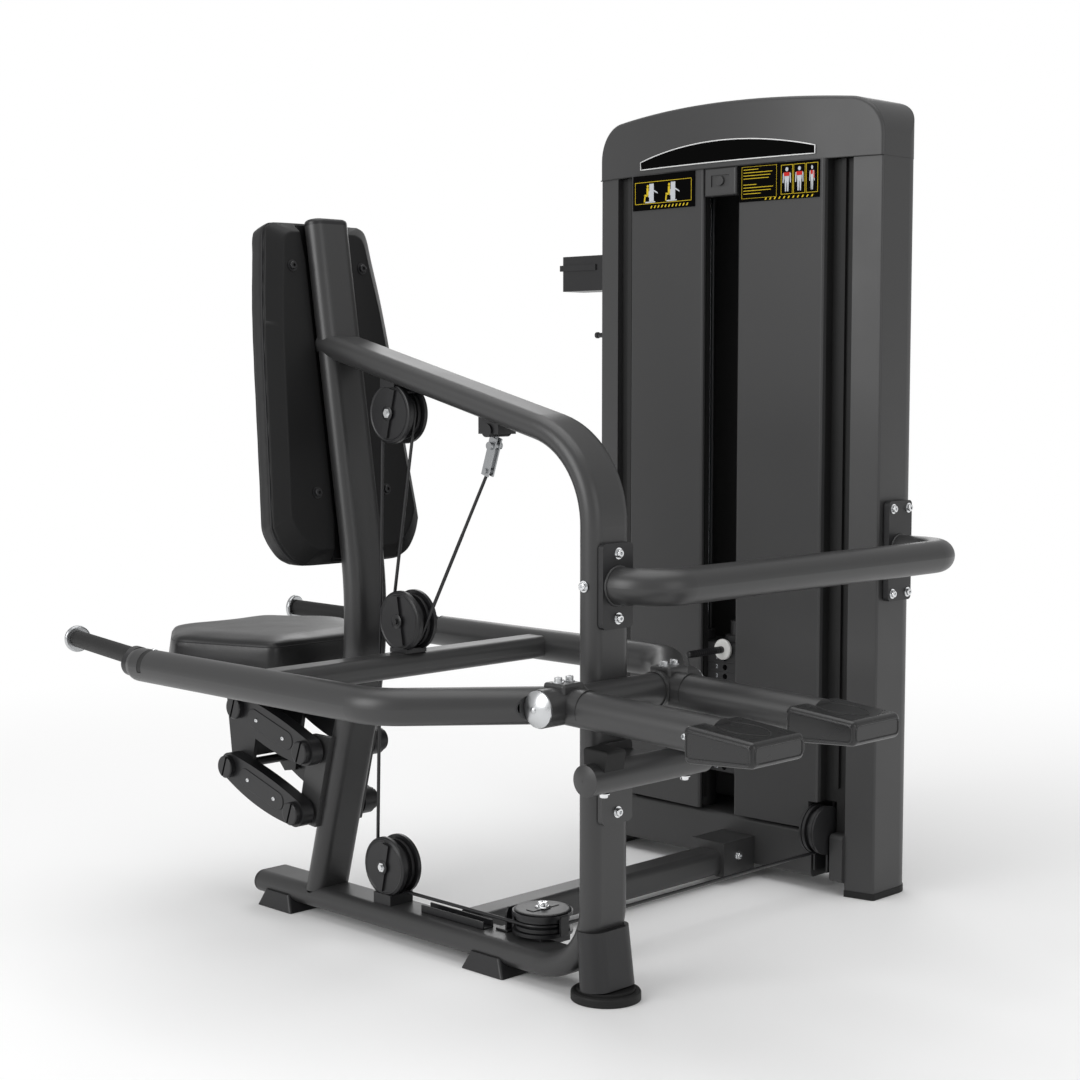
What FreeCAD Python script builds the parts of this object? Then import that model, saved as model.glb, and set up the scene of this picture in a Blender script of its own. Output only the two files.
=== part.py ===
import FreeCAD, Part
import math
import os

# Seated weight-stack exercise machine: an oval-tube frame with a seat and back pad, two arms
# swinging on a cross shaft, and a cable that runs over pulleys into a weight tower.
# Millimetres, +Z up. The user sits facing -Y, so left is +X; the tower stands at -X.
# The design origin is on the floor below the upright post, in the frame's middle plane x = 0.

os.makedirs("parts", exist_ok=True)
Vec = FreeCAD.Vector

# ---------------------------------------------------------------- driving dimensions
# From the design origin to the bottom centre of the whole machine
SHIFT = Vec(263.75, 337.66, 0.0)
SIDES = ((1, "left"), (-1, "right"))
RUN = 0.05             # radial running clearance

# frame
TUBE_W = 88.0          # flat-oval frame tube, along X
TUBE_T = 40.0          # flat-oval frame tube, in the frame's plane
SEAT_TUBE_W, SEAT_TUBE_T = 84.0, 42.0
WALL = 3.5
BEAM_Z = 36.0          # floor beam centre height
POST_Y = -3.0          # upright post centre
BEAM_END_Y = -838.0    # -Y end of the floor beam
TOP_END_Y = -650.0     # -Y end of the top beam
R_LOW = 110.0          # bend from floor beam to upright
R_TOP = 155.0          # bend from upright to top beam
TOP_SLOPE = 0.256      # rise of the top beam towards -Y
TOP_REF_Y, TOP_REF_Z = -164.0, 902.0       # a point on the top beam's centre line
SEAT_POST_FOOT = Vec(0, -688, BEAM_Z)
SEAT_POST_KNEE = Vec(0, -556.8, 522.0)
SEAT_POST_TOP = Vec(0, -670.8, 1231.0)
SEAT_POST_BEND = 700.0
PLATE_Y0, PLATE_Y1 = 17.2, 27.0            # plates on the upright's +Y face

# arms
PIVOT_Y, PIVOT_Z = 27.0, 480.0
SHAFT_R = 16.0
HUB_IN, HUB_OUT, HUB_R = 88.0, 172.0, 29.0
ARM_R = 28.5
ARM_ROOT_X, ARM_X = 116.0, 330.0
ARM_BEND_Y, ARM_BEND_R = -158.0, 90.0
ARM_END_Y = -768.0
ARM_SEAT_Y = ARM_END_Y - 12    # flat end of the arm, against the grip lug
SPIGOT_R = 12.0
CROSS_Y = -459.0

# pulleys and cable
PULLEY_R, PULLEY_HALF = 45.0, 11.0
GROOVE_R, GROOVE_HALF = 38.0, 5.0
AXLE_R = 8.0
GUARD_R, GUARD_HALF = 52.0, 22.0
CABLE_R = 3.0
WRAP_R = GROOVE_R + CABLE_R + 0.3          # cable centre line round a pulley
UP_PULLEY = Vec(0, -480.0, 907.0)
ARM_PULLEY = Vec(0, -459.0, 554.0)
LOW_PULLEY = Vec(0, -502.0, 121.0)
CABLE_Z = LOW_PULLEY.z - WRAP_R            # low run of the cable
FLOOR_PULLEY = Vec(-WRAP_R, -176.0, CABLE_Z)
STACK_X = -784.0                           # selector stem and guide rods
TOWER_PULLEY = Vec(STACK_X + WRAP_R, FLOOR_PULLEY.y + WRAP_R, CABLE_Z + WRAP_R)

# tower; its convex front faces +X
TOWER_Y = -374.0       # middle of the tower
POST_IN, POST_OUT = 289.0, 346.0           # tower post faces, from the middle
FRONT_X, FRONT_R = -723.0, 1535.0          # crown and radius of the convex front
TOWER_BACK = -884.0
TOWER_R = 40.0         # outer corners at the back
HEADER_LOW, HEADER_TOP = 1367.0, 1490.0
PANEL_TOP = HEADER_LOW - 0.5
TOP_PULLEY_Z = 1392.0
OUTER_PULLEY = Vec(STACK_X, TOWER_PULLEY.y - WRAP_R, TOP_PULLEY_Z)
INNER_PULLEY = Vec(STACK_X, TOWER_Y + WRAP_R, TOP_PULLEY_Z)
ROD_PITCH, ROD_R = 80.0, 12.5              # guide rods, from the tower's middle
PLATE_PITCH, PLATE_T = 18.0, 17.6
STACK_Z, N_PLATES = 195.0, 13

# seat
LINK_UP = Vec(0, -643.0, 312.0)
LINK_LO = Vec(0, -671.0, 199.0)
LINK_REACH = Vec(0, -191.0, 57.0)          # from a link's post pivot to its seat pivot
SEAT_UP, SEAT_LO = LINK_UP + LINK_REACH, LINK_LO + LINK_REACH
LINK_PIN_R, LINK_PIN_X = 8.0, 85.0
SEAT_TOP, SEAT_T = 510.0, 60.0


# ---------------------------------------------------------------- helpers
def save(name, shape):
    placed = shape.copy()
    placed.translate(SHIFT)
    placed.exportStep("parts/%s.step" % name)


def save_group(name, shapes):
    save(name, Part.makeCompound(shapes))


def fuse(first, *others):
    if others:
        first = first.multiFuse(list(others))
    return first.removeSplitter()


def biggest(shape):
    return max(shape.Solids, key=lambda solid: solid.Volume)


def outward(shape):
    """The shape, turned right side out if its volume is negative."""
    if shape.Volume < 0:
        shape.reverse()
    return shape


def span(side, near, far, middle=0):
    """Two distances from a middle, on the + or - side, in rising order."""
    return sorted((middle + side * near, middle + side * far))


def cylinder(start, direction, r, length):
    return Part.makeCylinder(r, length, Vec(*start), Vec(*direction))


def cyl_x(x0, x1, y, z, r):
    return cylinder((x0, y, z), (1, 0, 0), r, x1 - x0)


def cyl_y(y0, y1, x, z, r):
    return cylinder((x, y0, z), (0, 1, 0), r, y1 - y0)


def cyl_z(z0, z1, x, y, r):
    return cylinder((x, y, z0), (0, 0, 1), r, z1 - z0)


def rod(start, end, r):
    return cylinder(start, end - start, r, (end - start).Length)


def box(x0, x1, y0, y1, z0, z1):
    return Part.makeBox(x1 - x0, y1 - y0, z1 - z0, Vec(x0, y0, z0))


def polygon(points):
    return Part.makePolygon([Vec(*point) for point in points] + [Vec(*points[0])])


def prism(points, direction):
    return Part.Face(polygon(points)).extrude(Vec(*direction))


def hexagon(r, corner):
    """Hexagonal face; corner(a, b) puts a flat point into space."""
    angles = [math.radians(60 * k) for k in range(7)]
    corners = [corner(r * math.cos(angle), r * math.sin(angle)) for angle in angles]
    return Part.Face(Part.makePolygon(corners))


def round_edges(shape, r, test):
    """Fillet the edges that pass the test; the shape stays sharp if the fillet can't be built."""
    edges = [edge for edge in shape.Edges if test(edge)]
    if not edges:
        return shape
    # guards against radii too large for the faces beside an edge
    try:
        out = shape.makeFillet(r, edges)
        if out.isValid() and out.Volume > 0:
            return out
    except Exception:
        pass
    return shape


def along(edge, axis):
    run = edge.Vertexes[-1].Point - edge.Vertexes[0].Point
    return run.Length > 1 and abs(abs(run.dot(Vec(*axis))) - run.Length) < 1e-3 * run.Length


def along_x(edge):
    return along(edge, (1, 0, 0))


def along_y(edge):
    return along(edge, (0, 1, 0))


def along_z(edge):
    return along(edge, (0, 0, 1))


def closed(edge):
    return edge.Closed


def long_closed(edge):
    return edge.Closed and edge.Length > 100


def rounded_path(points, radii):
    """Polyline with an arc at each inner corner, as one wire."""
    points = [Vec(*point) for point in points]
    edges = []
    start = points[0]
    for before, corner, after, r in zip(points, points[1:], points[2:], radii):
        back = (before - corner).normalize()
        ahead = (after - corner).normalize()
        half = math.acos(max(-1, min(1, back.dot(ahead)))) / 2
        cut = r / math.tan(half)
        arc_start, arc_end = corner + back * cut, corner + ahead * cut
        arc_mid = corner + (back + ahead).normalize() * (r / math.sin(half) - r)
        edges.append(Part.makeLine(start, arc_start))
        edges.append(Part.Arc(arc_start, arc_mid, arc_end).toShape())
        start = arc_end
    edges.append(Part.makeLine(start, points[-1]))
    return Part.Wire(edges)


def oval(centre, normal, width, depth):
    """Flat oval wire, width along X and depth in the plane of the frame."""
    across = Vec(1, 0, 0)
    inward = Vec(*normal).normalize().cross(across).normalize()
    centre = Vec(*centre)
    flat = (width - depth) / 2
    half = depth / 2
    corners = [centre + across * (a * flat) + inward * (b * half)
               for a, b in ((1, 1), (-1, 1), (-1, -1), (1, -1))]
    return Part.Wire([
        Part.makeLine(corners[0], corners[1]),
        Part.Arc(corners[1], centre - across * (flat + half), corners[2]).toShape(),
        Part.makeLine(corners[2], corners[3]),
        Part.Arc(corners[3], centre + across * (flat + half), corners[0]).toShape()])


def circle(centre, normal, r):
    return Part.Wire([Part.makeCircle(r, Vec(*centre), Vec(*normal))])


def sweep(path, profile):
    return outward(path.makePipeShell([profile], True, True))


def oval_tube(path, start, direction, width, depth):
    """The tube as a filled bar and as a hollow tube."""
    filled = sweep(path, oval(start, direction, width, depth))
    core = sweep(path, oval(start, direction, width - 2 * WALL, depth - 2 * WALL))
    return filled, filled.cut(core)


def stand(shape, place, direction):
    """Move a shape built on +Z at the origin to a place, pointing in a direction."""
    turn = FreeCAD.Rotation(Vec(0, 0, 1), Vec(*direction))
    shape.Placement = FreeCAD.Placement(Vec(*place), turn)
    return shape


def dome(place, direction, r, height, rim=3.0):
    """Domed disc: a short rim, then a spherical cap."""
    base = Part.makeCylinder(r, rim)
    ball_r = (r * r + height * height) / (2 * height)
    ball = Part.makeSphere(ball_r, Vec(0, 0, rim + height - ball_r))
    cap = ball.common(Part.makeCylinder(r, height + 1, Vec(0, 0, rim)))
    return stand(base.fuse(cap).removeSplitter(), place, direction)


def bolt(place, direction, r=6.5, height=5.5, washer_r=9.0):
    """Button-head bolt on a washer, with a hexagon socket; direction points out of the seat."""
    washer_t = 1.6
    top = washer_t + height
    washer = Part.makeCylinder(washer_r, washer_t)
    head = Part.makeCylinder(r, height, Vec(0, 0, washer_t))
    head = round_edges(head, min(2.0, height * 0.4),
                       lambda edge: edge.Closed and abs(edge.BoundBox.ZMin - top) < 0.01)
    socket = hexagon(3.2, lambda a, b: Vec(a, b, top - 3)).extrude(Vec(0, 0, 4))
    return stand(washer.fuse(head).cut(socket).removeSplitter(), place, direction)


def top_beam_z(y):
    """Height of the top beam's centre line."""
    return TOP_REF_Z + TOP_SLOPE * (TOP_REF_Y - y)


# ---------------------------------------------------------------- main frame and seat post
loop_start = (0, BEAM_END_Y, BEAM_Z)
loop_path = rounded_path(
    [loop_start, (0, POST_Y, BEAM_Z), (0, POST_Y, top_beam_z(POST_Y)),
     (0, TOP_END_Y, top_beam_z(TOP_END_Y))],
    [R_LOW, R_TOP])
loop = oval_tube(loop_path, loop_start, (0, 1, 0), TUBE_W, TUBE_T)[1]

# The seat post leans towards +Y up to the knee and back towards -Y above it.
post_path = rounded_path([SEAT_POST_FOOT, SEAT_POST_KNEE, SEAT_POST_TOP], [SEAT_POST_BEND])
post_filled, seat_post = oval_tube(post_path, SEAT_POST_FOOT, SEAT_POST_KNEE - SEAT_POST_FOOT,
                                   SEAT_TUBE_W, SEAT_TUBE_T)
seat_post = seat_post.cut(loop.common(box(-100, 100, -900, -400, 0, 80)))
seat_post = biggest(seat_post.cut(box(-100, 100, -900, -400, 0, BEAM_Z + 12)))
save("seat_post", seat_post)

housing = cyl_x(-84, 84, PIVOT_Y, PIVOT_Z, 27.0)
end_collars = fuse(cyl_x(-86, -82, PIVOT_Y, PIVOT_Z, 29.0), cyl_x(82, 86, PIVOT_Y, PIVOT_Z, 29.0))
housing = housing.fuse(end_collars)
loop = biggest(loop.cut(post_filled))
main_frame = fuse(loop, housing).cut(cyl_x(-90, 90, PIVOT_Y, PIVOT_Z, SHAFT_R + RUN))
save("main_frame", main_frame)

# ---------------------------------------------------------------- tube end caps
POST_UP = (SEAT_POST_TOP - SEAT_POST_KNEE).normalize()
BEAM_CAP_T, POST_CAP_T = 9.0, 11.0

beam_cap = Part.Face(oval(loop_start, (0, -1, 0), TUBE_W, TUBE_T))
beam_cap = beam_cap.extrude(Vec(0, -BEAM_CAP_T, 0))
beam_cap = round_edges(beam_cap, 5.0,
                       lambda edge: edge.BoundBox.YMax < BEAM_END_Y - BEAM_CAP_T + 0.5)
beam_cap = beam_cap.fuse(
    dome((0, BEAM_END_Y - BEAM_CAP_T, BEAM_Z), (0, -1, 0), 5.5, 2.5, 1.0))

post_cap = Part.Face(oval(SEAT_POST_TOP, POST_UP, SEAT_TUBE_W, SEAT_TUBE_T))
post_cap = post_cap.extrude(POST_UP * POST_CAP_T)
post_cap = round_edges(
    post_cap, 7.0,
    lambda edge: (edge.CenterOfMass - SEAT_POST_TOP).dot(POST_UP) > POST_CAP_T - 0.5)
post_cap = post_cap.fuse(dome(SEAT_POST_TOP + POST_UP * POST_CAP_T, POST_UP, 5.5, 2.5, 0.6))
save_group("tube_end_caps", [beam_cap, post_cap])

# ---------------------------------------------------------------- feet under the frame
FOOT_LENGTH = 98.0


def beam_foot(y0):
    """Flared foot, saddle-shaped over the floor beam."""
    y1 = y0 + FOOT_LENGTH

    def ring(half_width, inset, z):
        return polygon([(-half_width, y0 + inset, z), (half_width, y0 + inset, z),
                        (half_width, y1 - inset, z), (-half_width, y1 - inset, z)])
    foot = Part.makeLoft([ring(54, 0, 0), ring(47, 15, 30)], True, True)
    foot = round_edges(foot, 5.0, lambda edge: abs(
        edge.Vertexes[0].Point.z - edge.Vertexes[-1].Point.z) > 20)
    return biggest(foot.cut(loop))


# Sleeve round the bend below the upright, standing on a round floor disc
sleeve = Part.makeLoft([oval((0, 7, 19), (0, -0.06, 1), 100.0, 56.0),
                        oval((0, -3, 112), (0, 0, 1), 96.0, 50.0)], True, True)
sleeve = biggest(sleeve.cut(loop)).cut(box(-80, 80, -80, 80, -10, 18))
floor_disc = cyl_z(0, 14, 0, 4, 55.5)
floor_disc = round_edges(floor_disc, 4.0, lambda edge: edge.Closed and edge.BoundBox.ZMin > 13)
floor_disc = floor_disc.fuse(cyl_z(13, 18, 0, 4, 46)).removeSplitter()
save_group("frame_feet",
           [beam_foot(-822.0), beam_foot(-272.0), biggest(sleeve.cut(floor_disc))])

# ---------------------------------------------------------------- link beam to the tower
LINK_BEAM_Y = -332.0
link_beam = box(-700, -30, LINK_BEAM_Y - 30, LINK_BEAM_Y + 30, 18, 66)
link_beam = round_edges(link_beam, 12.0, along_x)
link_beam = biggest(link_beam.cut(loop))
# No edge lies beyond x = -640, so the bracket keeps its sharp corners.
bracket = box(-742, -650, LINK_BEAM_Y - 40, LINK_BEAM_Y + 40, 16, 82)
save("link_beam", fuse(link_beam, biggest(bracket.cut(link_beam))))
frame_bolts = [bolt((-692, LINK_BEAM_Y + side * 40, 52), (0, side, 0)) for side in (1, -1)]

# ---------------------------------------------------------------- guard bar
GUARD_X, GUARD_Y, GUARD_Z = -812.0, 100.0, 650.0
GUARD_END_Y = -14.0
GUARD_BEND = 68.0
guard_start = (0, PLATE_Y1, GUARD_Z)
guard_path = rounded_path(
    [guard_start, (0, GUARD_Y, GUARD_Z), (GUARD_X, GUARD_Y, GUARD_Z),
     (GUARD_X, GUARD_END_Y, GUARD_Z)], [GUARD_BEND, GUARD_BEND])
guard_bar = sweep(guard_path, circle(guard_start, (0, 1, 0), 29.0))
guard_bar = guard_bar.cut(sweep(guard_path, circle(guard_start, (0, 1, 0), 26.0)))
save("guard_bar", guard_bar)

frame_plate = box(-34, 34, PLATE_Y0, PLATE_Y1, GUARD_Z - 66, GUARD_Z + 66)
frame_plate = biggest(round_edges(frame_plate, 8.0, along_y).cut(main_frame))
tower_plate = box(GUARD_X - 36, GUARD_X + 36, GUARD_END_Y - 12, GUARD_END_Y,
                  GUARD_Z - 92, GUARD_Z + 92)
save_group("guard_plates", [frame_plate, round_edges(tower_plate, 8.0, along_y)])
frame_bolts += [bolt((0, PLATE_Y1, GUARD_Z + side * 50), (0, 1, 0)) for side in (-1, 1)]
frame_bolts += [bolt((GUARD_X + a * 24, GUARD_END_Y, GUARD_Z + b * 78), (0, 1, 0))
                for a in (-1, 1) for b in (-1, 1)]
frame_bolts += [bolt((side * TUBE_W / 2, POST_Y, GUARD_Z), (side, 0, 0)) for side in (1, -1)]

# ---------------------------------------------------------------- stop bar and bumpers
STOP_Y, STOP_Z = 84.0, 375.0
STOP_HALF, STOP_R = 128.0, 24.0
BUMPER_X = 92.0
stop_bar = biggest(fuse(
    cyl_x(-STOP_HALF, STOP_HALF, STOP_Y, STOP_Z, STOP_R),
    box(-30, 30, 10, STOP_Y, STOP_Z - 20, STOP_Z + 20),
    round_edges(box(-34, 34, PLATE_Y0, PLATE_Y1, STOP_Z - 94, STOP_Z + 34), 8.0, along_y),
).cut(main_frame))
save("stop_bar", fuse(stop_bar, *[
    dome((side * STOP_HALF, STOP_Y, STOP_Z), (side, 0, 0), STOP_R, 4.0, 5.0)
    for side in (1, -1)]))
frame_bolts.append(bolt((0, PLATE_Y1, STOP_Z - 76), (0, 1, 0)))
frame_bolts += [bolt((side * BUMPER_X, STOP_Y, STOP_Z - STOP_R), (0, 0, -1)) for side in (1, -1)]


def bumper(x):
    """Block flaring upwards from the top of the stop bar."""
    x0 = x - 21
    block = prism([(x0, STOP_Y - 20, STOP_Z + 10), (x0, STOP_Y + 20, STOP_Z + 10),
                   (x0, STOP_Y + 26, STOP_Z + 44), (x0, STOP_Y - 22, STOP_Z + 46)], (42, 0, 0))
    block = round_edges(block, 5.0, lambda edge: edge.BoundBox.ZMin > STOP_Z + 40)
    return biggest(block.cut(stop_bar))


save_group("bumpers", [bumper(BUMPER_X), bumper(-BUMPER_X)])

# ---------------------------------------------------------------- pivot shaft, hubs, arms
SHAFT_HALF = HUB_OUT - 8
shaft = cyl_x(-SHAFT_HALF, SHAFT_HALF, PIVOT_Y, PIVOT_Z, SHAFT_R)
housing_space = cyl_x(-HUB_IN, HUB_IN, PIVOT_Y, PIVOT_Z, 60.0)


def swing_arm(side):
    """Hub with its top ear, the bent hollow arm and the tube for the counterweight."""
    hub = cyl_x(*span(side, HUB_IN, HUB_OUT), PIVOT_Y, PIVOT_Z, HUB_R)
    ear = box(*span(side, 96, 142), PIVOT_Y - 22, PIVOT_Y + 22, PIVOT_Z + 20, PIVOT_Z + 35)
    ear = round_edges(ear, 5.0,
                      lambda edge: edge.BoundBox.ZMin > PIVOT_Z + 34 or along_z(edge))
    root = Vec(side * ARM_ROOT_X, PIVOT_Y, PIVOT_Z)
    bend = Vec(side * ARM_X, ARM_BEND_Y, PIVOT_Z)
    tip = Vec(side * ARM_X, ARM_END_Y, PIVOT_Z)
    direction = (bend - root).normalize()
    arm = sweep(rounded_path([root, bend, tip], [ARM_BEND_R]), circle(root, direction, ARM_R))
    arm = arm.fuse(Part.makeSphere(ARM_R, tip))
    core_start = root + direction * 70
    core_path = rounded_path([core_start, bend, tip + Vec(0, 50, 0)], [ARM_BEND_R])
    arm = arm.cut(sweep(core_path, circle(core_start, direction, ARM_R - 3)))
    tube = rod(root + Vec(0, 4, -1), Vec(side * ARM_ROOT_X, 330, PIVOT_Z - 11), 28.5)
    cover_space = cyl_x(*span(side, HUB_OUT, HUB_OUT + 46), PIVOT_Y, PIVOT_Z, 28.6)
    whole = fuse(hub, ear, arm, tube)
    return biggest(whole.cut(housing_space).cut(shaft).cut(cover_space))


def finish_arm_end(arm, side):
    """Slot round part of the end, a flat seat for the grip lug and a blind bore."""
    x = side * ARM_X
    ring = cyl_y(ARM_END_Y + 24, ARM_END_Y + 36, x, PIVOT_Z, ARM_R + 1)
    ring = ring.cut(cyl_y(ARM_END_Y + 20, ARM_END_Y + 40, x, PIVOT_Z, ARM_R - 3))
    slot = ring.common(
        box(x - 5, x + 40, ARM_END_Y, ARM_END_Y + 60, PIVOT_Z - 8, PIVOT_Z + 40))
    arm = biggest(arm.cut(slot))
    arm = biggest(arm.cut(
        box(x - 40, x + 40, ARM_END_Y - 40, ARM_SEAT_Y, PIVOT_Z - 40, PIVOT_Z + 40)))
    return arm.cut(cyl_y(ARM_END_Y - 20, ARM_END_Y + 14, x, PIVOT_Z, SPIGOT_R + RUN))


arms = {side: swing_arm(side) for side, name in SIDES}

cross_bar = box(-ARM_X, ARM_X, CROSS_Y - 30, CROSS_Y + 30, PIVOT_Z - 20, PIVOT_Z + 20)
cross_bar = round_edges(cross_bar, 16.0, along_x)
cross_bar = biggest(cross_bar.cut(arms[1]).cut(arms[-1]))

for side, name in SIDES:
    arms[side] = finish_arm_end(arms[side], side)
arms[1] = fuse(arms[1], shaft)
save("arm_left", arms[1])
save("arm_right", arms[-1])
save("arm_cross_bar", cross_bar)

# ---------------------------------------------------------------- hub bolts and end covers
hub_hardware = []
for side, name in SIDES:
    for offset in (-12, 12):
        hub_hardware.append(
            bolt((side * 119 + offset, PIVOT_Y, PIVOT_Z + 35), (0, 0, 1), 6.0, 7.0, 8.5))
    hub_hardware.append(bolt((side * 144.5, 286, PIVOT_Z - 10), (side, 0, 0), 4.0, 2.5, 4.5))
for side, name in SIDES:
    cover = dome((side * HUB_OUT, PIVOT_Y, PIVOT_Z), (side, 0, 0), 28.0, 9.0, 3.0)
    button = dome((side * (HUB_OUT + 11.6), PIVOT_Y, PIVOT_Z), (side, 0, 0), 5.0, 2.0, 0.8)
    hub_hardware.append(cover.fuse(button))
save_group("hub_hardware", hub_hardware)


# ---------------------------------------------------------------- counterweights
def counterweight(side):
    """Rounded box, tapering towards +Y, round the end of the arm's rear tube."""
    middle = side * 114.0

    def ring(y, half_width, z0, z1):
        x0, x1 = middle - half_width, middle + half_width
        return polygon([(x0, y, z0), (x1, y, z0), (x1, y, z1), (x0, y, z1)])
    weight = Part.makeLoft([ring(306, 60, 438, 492), ring(428, 58, 446, 482)], True, True)
    weight = round_edges(weight, 9.0, lambda edge: True)
    return biggest(weight.cut(arms[side]))


save_group("counterweights", [counterweight(1), counterweight(-1)])

# ---------------------------------------------------------------- swivelling grips
# They lean in towards the middle; each stands at its own swivel setting.
GRIP_TIP_Z = {"left": 486.0, "right": 502.0}
GRIP_TIP_X, GRIP_TIP_Y = 254.0, -1090.0
GRIP_LENGTH = 292.0
GRIP_START = 16.0              # start of the bar along the grip's axis


def save_grip(side, name):
    """Lug with an offset boss and a spigot in the arm, the grip bar and its end cap."""
    x = side * ARM_X
    lug_y = ARM_SEAT_Y - 0.3
    origin = Vec(side * (ARM_X - 8), ARM_SEAT_Y - 10, PIVOT_Z + 8)
    tip = Vec(side * GRIP_TIP_X, GRIP_TIP_Y, GRIP_TIP_Z[name])
    direction = (tip - origin).normalize()
    lug = cyl_y(ARM_SEAT_Y - 20, lug_y, x, PIVOT_Z, 22.0)
    boss = cylinder(origin - direction * 8, direction, 20.0, 24.0)
    spigot = cyl_y(ARM_SEAT_Y - 2, ARM_END_Y + 10, x, PIVOT_Z, SPIGOT_R)
    lug = round_edges(fuse(lug, boss), 2.0, lambda edge: edge.Closed and edge.Length > 60)
    lug = lug.cut(box(x - 60, x + 60, lug_y, ARM_SEAT_Y + 60, PIVOT_Z - 60, PIVOT_Z + 60))
    lug = fuse(lug, spigot)
    bar = cylinder(origin + direction * GRIP_START, direction, 15.5, GRIP_LENGTH)
    bar = round_edges(bar, 2.0, closed)
    cap = cylinder(origin + direction * (GRIP_START + GRIP_LENGTH), direction, 24.5, 9.0)
    save("grip_lug_" + name, biggest(lug))
    save("grip_" + name, bar.cut(lug))
    save("grip_cap_" + name, round_edges(cap, 3.0, closed))


for side, name in SIDES:
    save_grip(side, name)


# ---------------------------------------------------------------- pulleys in the frame's plane
def wheel(centre, axis):
    """Grooved pulley wheel with a running bore."""
    def disc(r, half):
        return cylinder(centre - axis * half, axis, r, 2 * half)
    groove = disc(PULLEY_R + 1, GROOVE_HALF).cut(disc(GROOVE_R, GROOVE_HALF))
    return disc(PULLEY_R, PULLEY_HALF).cut(groove).cut(disc(AXLE_R + RUN, PULLEY_HALF + 1))


def pulley_guard(centre, strap_deg, tab_degs, block, support):
    """Two guard discs with strap bars, an axle, tabs between the discs and a mounting block."""
    y, z = centre.y, centre.z
    parts = []
    for side in (1, -1):
        disc = cyl_x(*span(side, 13, GUARD_HALF), y, z, GUARD_R)
        parts.append(round_edges(disc, 4.0, lambda edge: edge.Closed and abs(
            abs(edge.CenterOfMass.x) - GUARD_HALF) < 0.1))
        strap = box(*span(side, GUARD_HALF - 1, GUARD_HALF + 4), y - 42, y + 42, z - 8, z + 8)
        strap.rotate(centre, Vec(1, 0, 0), strap_deg)
        parts.append(strap)
    parts.append(cyl_x(-GUARD_HALF, GUARD_HALF, y, z, AXLE_R))
    for degrees in tab_degs:                # counted from +Y towards +Z
        tab = box(-14, 14, y + 47.5, y + 51.5, z - 9, z + 9)
        tab.rotate(centre, Vec(1, 0, 0), degrees)
        parts.append(tab)
    wheel_space = cyl_x(-12, 12, y, z, PULLEY_R + 1.5).cut(cyl_x(-13, 13, y, z, AXLE_R))
    return biggest(fuse(*parts, block).cut(wheel_space).cut(support))


def axle_nut(centre, side):
    x, y, z = side * GUARD_HALF, centre.y, centre.z
    nut = hexagon(8.5, lambda a, b: Vec(x, y + a, z + b)).extrude(Vec(side * 6, 0, 0))
    return nut.fuse(cyl_x(*span(side, 0, 9, x), y, z, 4.5))


upper_guard = pulley_guard(
    UP_PULLEY, 76, (55, 145),
    box(-26, 26, UP_PULLEY.y - 18, UP_PULLEY.y + 18, UP_PULLEY.z + 44, UP_PULLEY.z + 76), loop)
arm_guard = pulley_guard(
    ARM_PULLEY, 100, (-90,),
    box(-24, 24, ARM_PULLEY.y - 20, ARM_PULLEY.y + 20, PIVOT_Z + 20, ARM_PULLEY.z - 46),
    cross_bar)
low_guard = pulley_guard(
    LOW_PULLEY, 78, (200, 235),
    box(-26, 26, LOW_PULLEY.y - 22, LOW_PULLEY.y + 22, BEAM_Z + 18, LOW_PULLEY.z - 46.4), loop)
save("arm_pulley_guard", fuse(arm_guard, axle_nut(ARM_PULLEY, 1), axle_nut(ARM_PULLEY, -1)))
save("upper_pulley_wheel", wheel(UP_PULLEY, Vec(1, 0, 0)))
save("arm_pulley_wheel", wheel(ARM_PULLEY, Vec(1, 0, 0)))
save("low_pulley_wheel", wheel(LOW_PULLEY, Vec(1, 0, 0)))
for centre, guard in ((UP_PULLEY, upper_guard), (LOW_PULLEY, low_guard)):
    frame_bolts += [biggest(axle_nut(centre, side).cut(guard)) for side in (1, -1)]


# ---------------------------------------------------------------- floor pulley
def floor_guard():
    """Guard of the pulley that lies flat and turns the cable towards the tower."""
    x, y, z = FLOOR_PULLEY
    parts = [round_edges(cyl_z(z0, z0 + 5.6, x, y, 50), 3.0, long_closed)
             for z0 in (z - 18, z + 12.4)]
    parts += [cyl_z(z - 18, z + 18, x, y, AXLE_R),
              box(x - 30, x + 30, y - 8, y + 8, z + 17, z + 22),
              box(x - 34, x + 34, y - 30, y + 30, BEAM_Z + 10, z - 17)]
    for degrees in (0, 203):
        tab = box(x - 9, x + 9, y + 47, y + 51, z - 16, z + 16)
        tab.rotate(Vec(x, y, 0), Vec(0, 0, 1), degrees)
        parts.append(tab)
    return biggest(fuse(*parts).cut(loop))


save("floor_pulley_wheel", wheel(FLOOR_PULLEY, Vec(0, 0, 1)))
frame_bolts.append(cyl_z(CABLE_Z + 22, CABLE_Z + 30, FLOOR_PULLEY.x, FLOOR_PULLEY.y, 7.0))
save_group("frame_bolts", frame_bolts)

# ---------------------------------------------------------------- cable anchor and clamp
ANCHOR_Y = -240.0
ANCHOR_Z = top_beam_z(ANCHOR_Y) - 20.6     # underside of the top beam
CLAMP_TOP = Vec(0, -241, ANCHOR_Z - 30)
CLAMP_END = Vec(0, -262, ANCHOR_Z - 92)
CLAMP_LENGTH = (CLAMP_END - CLAMP_TOP).Length
CLAMP_DIR = (CLAMP_END - CLAMP_TOP).normalize()
CLAMP_PIN_R = 4.0

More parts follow.
